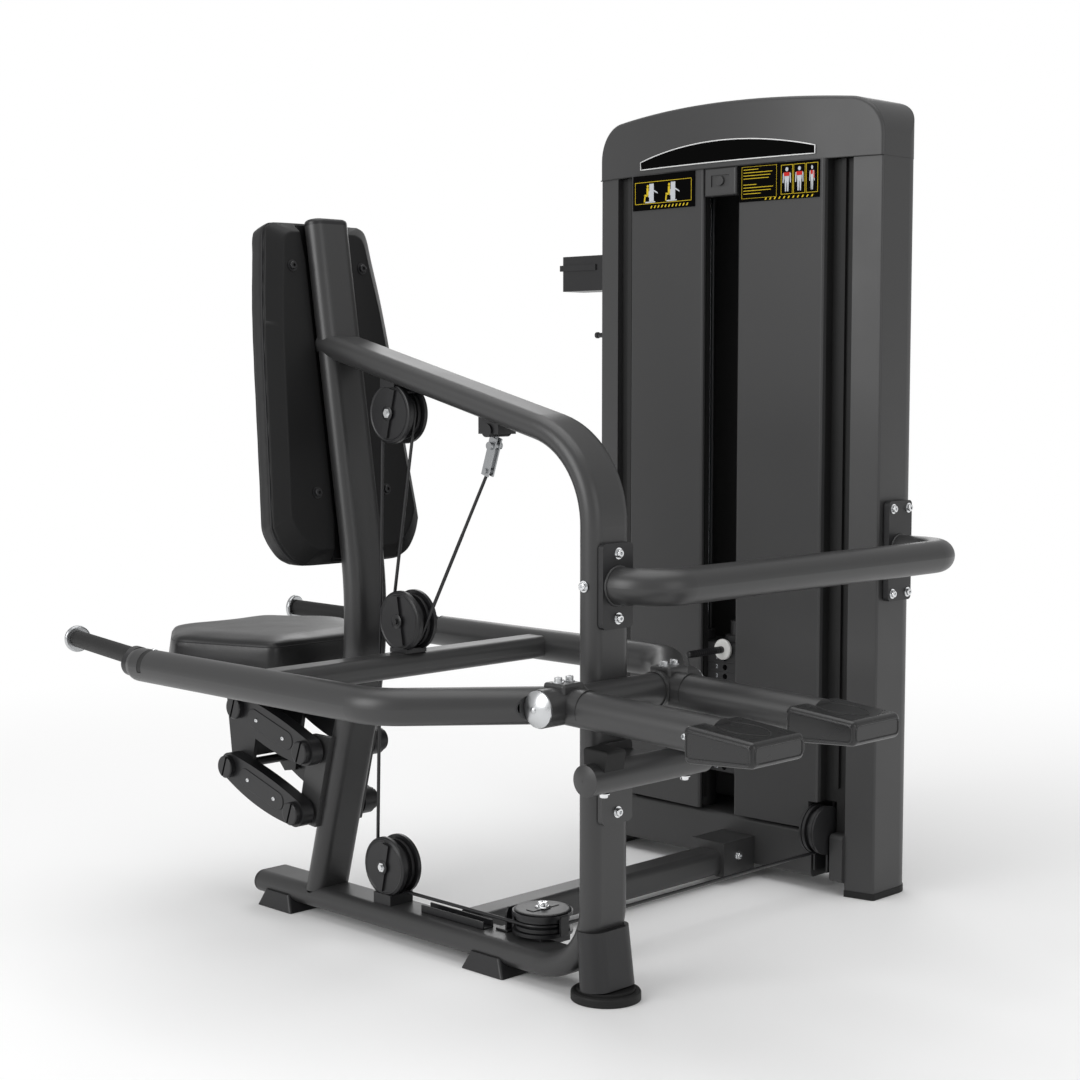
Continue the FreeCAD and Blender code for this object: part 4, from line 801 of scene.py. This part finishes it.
for sign, side in SIDES:
    ring_bead("seam_weight_tube_" + side, row_at(sign * 116, 74, 478.6), (0, 1, -0.03),
              radius=28.1, bead=1.0, body="press_arm", material="joint_and_recess_shade")
    ring_bead("seam_housing_" + side, row_at(sign * 86.6, 27, 480), (1, 0, 0),
              radius=28.2, bead=1.3)
for name, x, y in (("post", 0, 27.8), ("tower", -812, -13.2)):
    ring_bead("weld_guard_" + name, row_at(x, y, 650), (0, 1, 0), radius=29.6, bead=2.4)

# ------------------------------------------------------------------ arm ends: curved slots as near-black bands of painted shade
ARM_END_X, ARM_END_Z = 330, 480
SLOT_STEPS = 30
SLOT_SECTION = ((27.4, -743.6), (28.1, -743.6), (28.1, -732.4), (27.4, -732.4))  # radius, y
SLOT_STOP = [(0, 0), (4.4, 0), (4.4, 1.8), (3.2, 2.8), (0, 2.9)]
for sign, side in SIDES:
    bm = bmesh.new()
    rings = []
    for i in range(SLOT_STEPS + 1):
        a = math.radians(-14 + 128 * i / SLOT_STEPS)
        if sign < 0:
            a = math.pi - a
        rings.append([bm.verts.new(row_at(sign * ARM_END_X + radius * math.cos(a), y,
                                          ARM_END_Z + radius * math.sin(a)))
                      for radius, y in SLOT_SECTION])
    loft(bm, rings)
    # painted shade: a thin dark band on the tube stands for the shade inside the slot
    piece("arm_slot_" + side, bm, "joint_and_recess_shade", "press_arm")
    a = math.radians(90 + sign * 10)
    outward = Vector((math.cos(a), 0, math.sin(a)))
    lathe_piece("arm_slot_stop_" + side,
                row_at(sign * ARM_END_X, -738, ARM_END_Z) + outward * 0.0275, outward,
                SLOT_STOP, "chrome", "press_arm", segments=24)

# ------------------------------------------------------------------ grips: ring and end disc
GRIP_RING = [(14.6, -2.4), (16.6, -2.2), (17.0, 0), (16.6, 2.2), (14.6, 2.4), (14.6, -2.4)]
GRIP_CAP = [(0, 0.3), (15.0, 0.3), (16.2, 0.9), (17.4, 1.5), (18.4, 1.5), (20.8, 0.6),
            (21.6, -0.3), (0, -0.3)]
GRIP_RING_DISTANCE, GRIP_CAP_DISTANCE = 22, 316.6       # from the root, along the grip
GRIP_TIP_Z = {"left": 486.0, "right": 502.0}
for sign, side in SIDES:
    root = Vector((sign * 322, -790, 488))
    axis = (Vector((sign * 254, -1090, GRIP_TIP_Z[side])) - root).normalized()
    body = "grip_%s_body" % side
    lathe_piece("grip_ring_%s_0" % side, row_at(*(root + axis * GRIP_RING_DISTANCE)), axis,
                GRIP_RING, "rubber", body, segments=48)
    lathe_piece("grip_cap_ring_" + side, row_at(*(root + axis * GRIP_CAP_DISTANCE)), axis,
                GRIP_CAP, "alu", body, segments=56)

# ------------------------------------------------------------------ links: inset plates, screws
LINK_FACE = 84.0            # |x| of a link's outer face
INSET_END, INSET_RADIUS = 50, 17
SCREW_END = 60
LINK_SCREW = [(0, 0), (4.0, 0), (4.0, 1.0), (3.0, 2.2), (1.6, 2.4), (1.5, 1.2), (0, 1.2)]


def link_trim(name, start, end, body):
    """Round-ended plate and two screws on both outer faces; start and end are (y, z)."""
    dy, dz = end[0] - start[0], end[1] - start[1]
    length = math.hypot(dy, dz)
    u, v = dy / length, dz / length

    def link_point(x, along, across=0.0):
        return row_at(x, start[0] + u * along - v * across, start[1] + v * along + u * across)

    outline = []
    for centre, first in ((INSET_END, 90), (length - INSET_END, -90)):
        for i in range(13):
            a = math.radians(first + 180 * i / 12)
            outline.append((centre + INSET_RADIUS * math.cos(a), INSET_RADIUS * math.sin(a)))
    for sign, letter in ((1, "a"), (-1, "b")):
        face = sign * LINK_FACE
        bm = bmesh.new()
        prism(bm, [link_point(face - sign * 0.4, along, across) for along, across in outline],
              (sign * 0.0018, 0, 0))
        inset = piece("%s_inset_%s" % (name, letter), bm, "black2", body)
        add_bevel(inset, 0.0008)
        for i, along in enumerate((SCREW_END, length - SCREW_END)):
            lathe_piece("%s_screw_%s%d" % (name, letter, i),
                        link_point(face + sign * 1.2, along), (sign, 0, 0), LINK_SCREW,
                        "chrome", body, segments=28)


link_trim("link_up", (-643, 312), (-834, 369), "seat_links_upper")
link_trim("link_lo", (-671, 199), (-862, 256), "seat_links_lower")

# ------------------------------------------------------------------ tower front
FRONT_X, FRONT_RADIUS = -723.0, 1535.0      # crest and bow of the curved front


def front_x(d, out=0.0):
    """x of the curved front at a distance d in y from its centre."""
    return FRONT_X + out - (FRONT_RADIUS - math.sqrt(FRONT_RADIUS ** 2 - d * d))


# emblem outline: flat lower edge, arched upper edge
EMBLEM_HALF, EMBLEM_RISE = 214, 25
EMBLEM_LOW, EMBLEM_CREST = 1377, 1417
EMBLEM_STEPS = 48
arch_radius = (EMBLEM_HALF ** 2 + EMBLEM_RISE ** 2) / (2 * EMBLEM_RISE)
across = [-EMBLEM_HALF + 2 * EMBLEM_HALF * i / EMBLEM_STEPS for i in range(EMBLEM_STEPS + 1)]
emblem = [(d, EMBLEM_CREST - (arch_radius - math.sqrt(arch_radius ** 2 - d * d)))
          for d in across]
emblem += [(-d, EMBLEM_LOW) for d in across]
tube_piece("emblem_outline", [row_at(front_x(d, 4.2), TOWER_Y + d, z) for d, z in emblem],
           1.1, "line", closed=True, sharp=80)

# the placards lie on flat panels that slope back from SIGN_INNER off the tower's centre
SIGN_INNER, SIGN_SPAN = 43, 194
SIGN_INNER_X, SIGN_OUTER_X = front_x(43.0), -732.0
SIGN_PROUD = 2.0


def sign_x(y):
    slope = (SIGN_OUTER_X - SIGN_INNER_X) * (abs(y - TOWER_Y) - SIGN_INNER) / SIGN_SPAN
    return SIGN_INNER_X + slope + SIGN_PROUD


def rect(y0, y1, z0, z1):
    return [(y0, z0), (y1, z0), (y1, z1), (y0, z1)]


def ellipse(y, z, radius_y, radius_z):
    angles = [k * math.pi / 6 for k in range(12)]
    return [(y + radius_y * math.cos(a), z + radius_z * math.sin(a)) for a in angles]


def draw(bm, shapes, centre=0, out=0.4, width=1.0):
    """Raised (y, z) polygons about a centre y, scaled in y by width."""
    for shape in shapes:
        outline = [(centre + y * width, z) for y, z in shape]
        prism(bm, [row_at(sign_x(y), y, z) for y, z in outline], (out / 1000, 0, 0))


def draw_frame(bm, y0, y1, z0, z1, line):
    draw(bm, (rect(y0, y1, z0, z0 + line), rect(y0, y1, z1 - line, z1),
              rect(y0, y0 + line, z0 + line, z1 - line),
              rect(y1 - line, y1, z0 + line, z1 - line)))


def draw_marks(bm, first, pitch, mark):
    for i in range(11):
        draw(bm, [mark], first + i * pitch)


# shapes are polygons of (y from the figure's centre, z)
SEATED_FIGURE = (
    ellipse(-3, 1343.5, 2.6, 2.8),                              # head
    [(-6, 1340), (-0.5, 1340), (-1, 1325), (-6, 1325)],         # trunk
    [(-12, 1327.5), (-3, 1327.5), (-3, 1323.5), (-12, 1323.5)],         # thigh
    [(-12, 1325), (-8.6, 1325), (-10.4, 1312.5), (-13.4, 1312.5)],      # shin
)
MACHINE = (
    rect(1, 13, 1313, 1348),
    rect(-10, 17, 1311, 1313.4),
    [(13, 1336), (24, 1330), (24, 1327.6), (13, 1333)],
    rect(-1.5, 1, 1322, 1334),
)
STANDING_FIGURE = (
    [(-6.2, 1346), (6.2, 1346), (4.4, 1329), (-4.4, 1329)],     # trunk
    [(-4.4, 1329), (-0.5, 1329), (-1.2, 1311), (-3.6, 1311)],   # legs
    [(0.5, 1329), (4.4, 1329), (3.6, 1311), (1.2, 1311)],
    [(-8.6, 1344), (-6.2, 1346), (-7.2, 1327), (-9.2, 1327)],   # arms
    [(6.2, 1346), (8.6, 1344), (9.2, 1327), (7.2, 1327)],
    ellipse(0, 1351.5, 3.2, 3.8),                               # head
)
SHOULDER_MARK = [(-6.6, 1346), (6.6, 1346), (5.6, 1339), (-5.6, 1339)]
NARROW_MARKS = (        # on the narrow figure, in design y
    [(-158.6, 1344), (-156.8, 1345), (-156.4, 1332), (-158.4, 1332)],
    [(-165, 1346), (-160, 1346), (-160.4, 1339), (-164.6, 1339)],
)
LOW_Y_MARK = [(0, 1300), (3.0, 1300), (6, 1305), (3.0, 1305)]
HIGH_Y_MARK = [(0, 1298.4), (3.0, 1298.4), (5.4, 1302.6), (2.6, 1302.6)]
SEATED_Y = (-560, -502)
STANDING = ((-218, 1.0), (-190, 1.0), (-162, 0.62))             # centre y, width scale
RULE_LENGTHS = (34, 66, 62, 58, 0, 30, 68, 63, 40)              # 0 leaves a gap

# yellow: seated figures at lower y; rules and boxes at higher y
bm = bmesh.new()
draw_frame(bm, -598, -446, 1309, 1352, line=0.9)
draw_marks(bm, -556, 9.6, LOW_Y_MARK)
for centre in SEATED_Y:
    draw(bm, SEATED_FIGURE, centre, out=0.9)
draw_frame(bm, -321, -241, 1303, 1362, line=0.5)
draw_marks(bm, -268, 10.4, HIGH_Y_MARK)
for i, length in enumerate(RULE_LENGTHS):
    if length:
        draw(bm, [rect(-317, -317 + length, 1356 - i * 5.6, 1357.1 - i * 5.6)])
for centre, _ in STANDING:
    draw_frame(bm, centre - 13, centre + 13, 1306, 1360, line=0.8)
piece("placard_yellow", bm, "yellow", smooth=False)

bm = bmesh.new()
for centre in SEATED_Y:
    draw(bm, MACHINE, centre)
for centre, width in STANDING:
    draw(bm, STANDING_FIGURE, centre, width=width)
piece("placard_grey", bm, "grey", smooth=False)

bm = bmesh.new()
for centre, _ in STANDING[:2]:
    draw(bm, [SHOULDER_MARK], centre, out=0.8)
draw(bm, NARROW_MARKS, out=0.8)
piece("placard_red", bm, "red", smooth=False)

# numbers on the weight plates, 1 at the top
PLATES, PLATE_PITCH, STACK_BOTTOM = 13, 18, 195
FACING_FRONT = Matrix(((0, 0, 1, 0), (1, 0, 0, 0), (0, 1, 0, 0), (0, 0, 0, 1)))
for i in range(PLATES):
    name = "plate_number_%02d" % i
    text = bpy.data.curves.new(name, "FONT")
    text.body = str(PLATES - i)
    text.size = 0.011
    text.align_x = "CENTER"
    text.align_y = "CENTER"
    text.extrude = 0.0002
    number = link_object(name, text)
    centre = row_at(-747.8, TOWER_Y - 20, STACK_BOTTOM + PLATE_PITCH * i + 8.8)
    number.matrix_world = Matrix.Translation(centre) @ FACING_FRONT
    text.materials.append(MATERIALS["grey"])
    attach(number, "frame")

# dark beads up the fronts of the two posts, and along the header joint
for sign, side in SIDES:
    y = TOWER_Y + sign * 291.5
    tube_piece("post_bead_" + side,
               [row_at(front_x(289, -2.5), y, z) for z in (40, 400, 900, 1366)],
               1.6, "joint_and_recess_shade")
JOINT_HALF = 346.8
across = [-JOINT_HALF + 2 * JOINT_HALF * i / 40 for i in range(41)]
tube_piece("header_joint", [row_at(front_x(d, 1.2), TOWER_Y + d, 1366.8) for d in across],
           1.2, "joint_and_recess_shade")

# ------------------------------------------------------------------ tower rear
# three columns of thin near-black bars, painted shade of the louvre slots, sunk 0.2 mm into the
# rear face; metres
rear_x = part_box("tower_base")[0][0] + 0.0002
bm = bmesh.new()
for i in range(9):
    z = 0.30 + i * 0.034
    for column in (-0.16, 0.0, 0.16):
        y = row_at(0, TOWER_Y, 0).y + column
        prism(bm, [Vector((rear_x, *corner))
                   for corner in rect(y - 0.05, y + 0.05, z, z + 0.010)], (-0.0014, 0, 0))
# painted shade: dark bars in place of the shade inside the louvre slots
piece("rear_louvres", bm, "joint_and_recess_shade")

REAR_SCREW = [(0, 0), (6, 0), (6, 1.2), (4.6, 2.4), (0, 2.6)]
bm = bmesh.new()
for y in (TOWER_Y - 266, TOWER_Y, TOWER_Y + 266):
    for z in (120, 560, 1000, 1330):
        lathe(bm, Vector((rear_x, row_at(0, y, 0).y, z / 1000)), (-1, 0, 0), REAR_SCREW, 24)
piece("rear_screws", bm, "black")

# ------------------------------------------------------------------ foot disc rings
bm = bmesh.new()
for radius, z in ((50.0, 13.6), (44.0, 17.6)):
    lathe(bm, row_at(0, 4, z), (0, 0, 1),
          [(radius - 1.6, 0), (radius - 0.8, 0.9), (radius + 0.8, 0.9), (radius + 1.6, 0),
           (radius - 1.6, 0)], 72)
piece("foot_disc_rings", bm, "rubber")

# ------------------------------------------------------------------ counterweight covers
WEIGHT_X = (114.0, -114.0)
WEIGHT_Y, WEIGHT_LENGTH = 306, 122          # the covers taper along +y
WEIGHT_SIDE = [(313, 446), (424, 452), (424, 476), (313, 485)]      # (y, z)
WEIGHT_END = [(-51, 452), (51, 452), (51, 476), (-51, 476)]         # (x, z)


def rim_outline(corners, radii):
    return resampled(rounded(corners, radii, segments=5), 8.0)


side_rim = rim_outline(WEIGHT_SIDE, [6, 8, 8, 6])
end_rim = rim_outline(WEIGHT_END, [7] * 4)
bm = bmesh.new()
for centre in WEIGHT_X:
    for sign, _ in SIDES:
        points = []
        for y, z in side_rim:
            taper = 2 * ((y - WEIGHT_Y) / WEIGHT_LENGTH)
            points.append(row_at(centre + sign * (60 - taper - 0.4), y, z))
        tube(bm, points, 1.8, 10, closed=True)
    tube(bm, [row_at(centre + x, 427.8, z) for x, z in end_rim], 1.6, 10, closed=True)
piece("weight_rims", bm, "weight", "press_arm", sharp=70)

# pointed oval line on the sloping top of each cover
bm = bmesh.new()
for centre in WEIGHT_X:
    points = []
    for i in range(48):
        a = 2 * math.pi * i / 48
        y = 366 + 44 * math.cos(a)
        x = 30 * math.copysign(abs(math.sin(a)) ** 1.3, math.sin(a))
        points.append(row_at(centre + x, y, 492 - 10 * (y - WEIGHT_Y) / WEIGHT_LENGTH - 0.1))
    tube(bm, points, 0.9, 8, closed=True)
piece("weight_top_lines", bm, "joint_and_recess_shade", "press_arm", sharp=70)

# ------------------------------------------------------------------ header: short slots as near-black blocks of painted shade
HEADER_TOP, HEADER_RADIUS = 1490, 2863.2


def header_z(d):
    """Height of the bowed header top at a distance d in y from its centre."""
    return HEADER_TOP - (HEADER_RADIUS - math.sqrt(HEADER_RADIUS ** 2 - d * d))


bm = bmesh.new()
for middle in (236.0, 268.0):
    for sign, _ in SIDES:
        corners = rect(middle - 9, middle + 9, -806, -798)      # (d, x)
        prism(bm, [row_at(x, TOWER_Y + sign * d, header_z(d) - 0.8) for d, x in corners],
              (0, 0, 0.0014))
# painted shade: dark blocks in place of the shade inside the slots
slots = piece("header_slots", bm, "joint_and_recess_shade", smooth=False)
add_bevel(slots, 0.0008)

# ------------------------------------------------------------------ floor beam
# cable channel: two walls and a floor
bm = bmesh.new()
for x in (-12.0, 9.0):
    upright_box(bm, x, x + 3, -262, -416, FLOOR_BEAM_TOP, 13.5)
upright_box(bm, -12, 12, -262, -416, FLOOR_BEAM_TOP - 0.2, 2.6)
channel = piece("cable_channel", bm, "black")
add_bevel(channel, 0.0009)

# floor pulley's keeper: upright plate on a flat foot; outline is (x, z)
KEEPER = [(-50, FLOOR_BEAM_TOP), (-9, FLOOR_BEAM_TOP), (-9, 88), (-14, 97), (-45, 97),
          (-50, 90)]
bm = bmesh.new()
prism(bm, [row_at(x, -232, z) for x, z in KEEPER], (0, 0.0042, 0))
upright_box(bm, -66, -5, -250, -222, FLOOR_BEAM_TOP, 4.0)
keeper = piece("floor_keeper", bm, "black")
add_bevel(keeper, 0.0012, segments=3)

FLOOR_NUT = [(0, 0), (13.0, 0), (13.0, 1.2), (11.8, 2.0), (8.4, 2.2), (8.4, 7.0),
             (7.4, 8.8), (4.2, 9.0), (4.0, 6.0), (0, 6.0)]
FLOOR_COVER = [(0, 0), (44, 0), (46.5, 0.5), (47.5, 1.6), (46.5, 2.4), (42, 2.9), (0, 3.0)]
lathe_piece("floor_pulley_nut", row_at(*FLOOR_WHEEL, 101.7), (0, 0, 1), FLOOR_NUT,
            "chrome")
lathe_piece("floor_cover_rim", row_at(*FLOOR_WHEEL, 97.6), (0, 0, 1), FLOOR_COVER,
            "black", segments=64)

# ------------------------------------------------------------------ pulley guard rims, bosses
GUARD_RIM = [(44.0, 0), (45.2, 1.1), (47.2, 1.3), (48.6, 0.2), (48.0, -0.6), (44.0, -0.6),
             (44.0, 0)]
GUARD_BOSS = [(0, 0), (12.5, 0), (12.5, 0.9), (11.6, 1.5), (0, 1.6)]
for name, wheel, body in (("up", UPPER_WHEEL, "frame"), ("arm", ARM_WHEEL, "press_arm"),
                          ("low", LOW_WHEEL, "frame")):
    bm = bmesh.new()
    for sign, _ in SIDES:
        lathe(bm, row_at(sign * 21.8, *wheel), (sign, 0, 0), GUARD_RIM, 72)
        lathe(bm, row_at(sign * 25.8, *wheel), (sign, 0, 0), GUARD_BOSS, 40)
    piece("guard_rim_" + name, bm, "black", body, sharp=40)

# ------------------------------------------------------------------ studio, in metres
FLOOR_HALF, FLOOR_Z = 14.0, -0.0006


def floor_material():
    """Matt white that fades into the backdrop away from the machine."""
    material, tree, shader = new_material("studio_floor", (0.93, 0.93, 0.93), {
        "Roughness": 0.85,
        "Specular IOR Level": 0.05,
    })
    geometry = tree.nodes.new("ShaderNodeNewGeometry")
    distance = tree.nodes.new("ShaderNodeVectorMath")
    distance.operation = "LENGTH"
    tree.links.new(geometry.outputs["Position"], distance.inputs[0])
    fade = tree.nodes.new("ShaderNodeMapRange")
    fade.interpolation_type = "SMOOTHSTEP"
    fade.inputs["From Min"].default_value = 0.9
    fade.inputs["From Max"].default_value = 3.2
    tree.links.new(distance.outputs["Value"], fade.inputs["Value"])
    glow = tree.nodes.new("ShaderNodeEmission")
    glow.inputs["Color"].default_value = (1, 1, 1, 1)
    glow.inputs["Strength"].default_value = 1.0
    mix = tree.nodes.new("ShaderNodeMixShader")
    tree.links.new(fade.outputs["Result"], mix.inputs[0])
    tree.links.new(shader.outputs["BSDF"], mix.inputs[1])
    tree.links.new(glow.outputs["Emission"], mix.inputs[2])
    tree.links.new(mix.outputs["Shader"], tree.nodes["Material Output"].inputs["Surface"])
    return material


floor_mesh = bpy.data.meshes.new("floor")
floor_mesh.from_pydata([(x * FLOOR_HALF, y * FLOOR_HALF, FLOOR_Z)
                        for x, y in rect(-1, 1, -1, 1)], [], [(0, 1, 2, 3)])
floor = link_object("floor", floor_mesh)
floor_mesh.materials.append(floor_material())


def build_world():
    """White world with its own strength for light, reflections and the backdrop."""
    factor, value_a, value_b = 0, 2, 3      # float sockets of a Mix node
    world = bpy.data.worlds.new("studio")
    scene.world = world
    world.use_nodes = True
    tree = world.node_tree
    background = tree.nodes["Background"]
    background.inputs["Color"].default_value = (1.0, 1.0, 1.0, 1)
    rays = tree.nodes.new("ShaderNodeLightPath")
    lighting = tree.nodes.new("ShaderNodeMix")
    lighting.data_type = "FLOAT"
    lighting.inputs[value_a].default_value = 0.55       # light on the machine
    lighting.inputs[value_b].default_value = 0.52       # seen in reflections
    tree.links.new(rays.outputs["Is Glossy Ray"], lighting.inputs[factor])
    strength = tree.nodes.new("ShaderNodeMix")
    strength.data_type = "FLOAT"
    tree.links.new(rays.outputs["Is Camera Ray"], strength.inputs[factor])
    tree.links.new(lighting.outputs[0], strength.inputs[value_a])
    strength.inputs[value_b].default_value = 1.0        # backdrop
    tree.links.new(strength.outputs[0], background.inputs["Strength"])


def area_light(name, location, target, size, power):
    """Square area light aimed at target; power in watts."""
    light = bpy.data.lights.new(name, "AREA")
    light.energy = power
    light.size = size
    lamp = link_object(name, light)
    lamp.location = location
    aim = Vector(target) - Vector(location)
    lamp.rotation_euler = aim.to_track_quat("-Z", "Y").to_euler()


def build_camera(location, direction, lens):
    camera = bpy.data.cameras.new("camera")
    camera.lens = lens
    camera.sensor_width = 36.0
    camera.clip_start = 0.05
    camera.clip_end = 60.0
    holder = link_object("camera", camera)
    forward = Vector(direction).normalized()
    right = forward.cross(Vector((0, 0, 1))).normalized()
    up = right.cross(forward)
    rotation = Matrix((right, up, -forward)).transposed().to_4x4()
    holder.matrix_world = Matrix.Translation(Vector(location)) @ rotation
    scene.camera = holder


build_world()
area_light("top_soft", (0.0, 0.1, 4.2), target=(0, 0, 0.6), size=3.6, power=66.0)
area_light("key_left", (4.2, -0.6, 2.2), target=(-0.3, 0.0, 0.8), size=2.6, power=82.0)
area_light("fill_right", (0.4, 4.6, 2.0), target=(-0.2, 0, 0.8), size=2.4, power=22.0)
area_light("rim_back", (-3.4, -2.8, 2.6), target=(0, 0, 0.8), size=2.6, power=34.0)
build_camera(location=(2.45161719, 2.36746965, 0.97),
             direction=(-0.70731221, -0.70190592, -0.08388994), lens=64.935)
scene.view_settings.view_transform = "Standard"
scene.view_settings.look = "None"
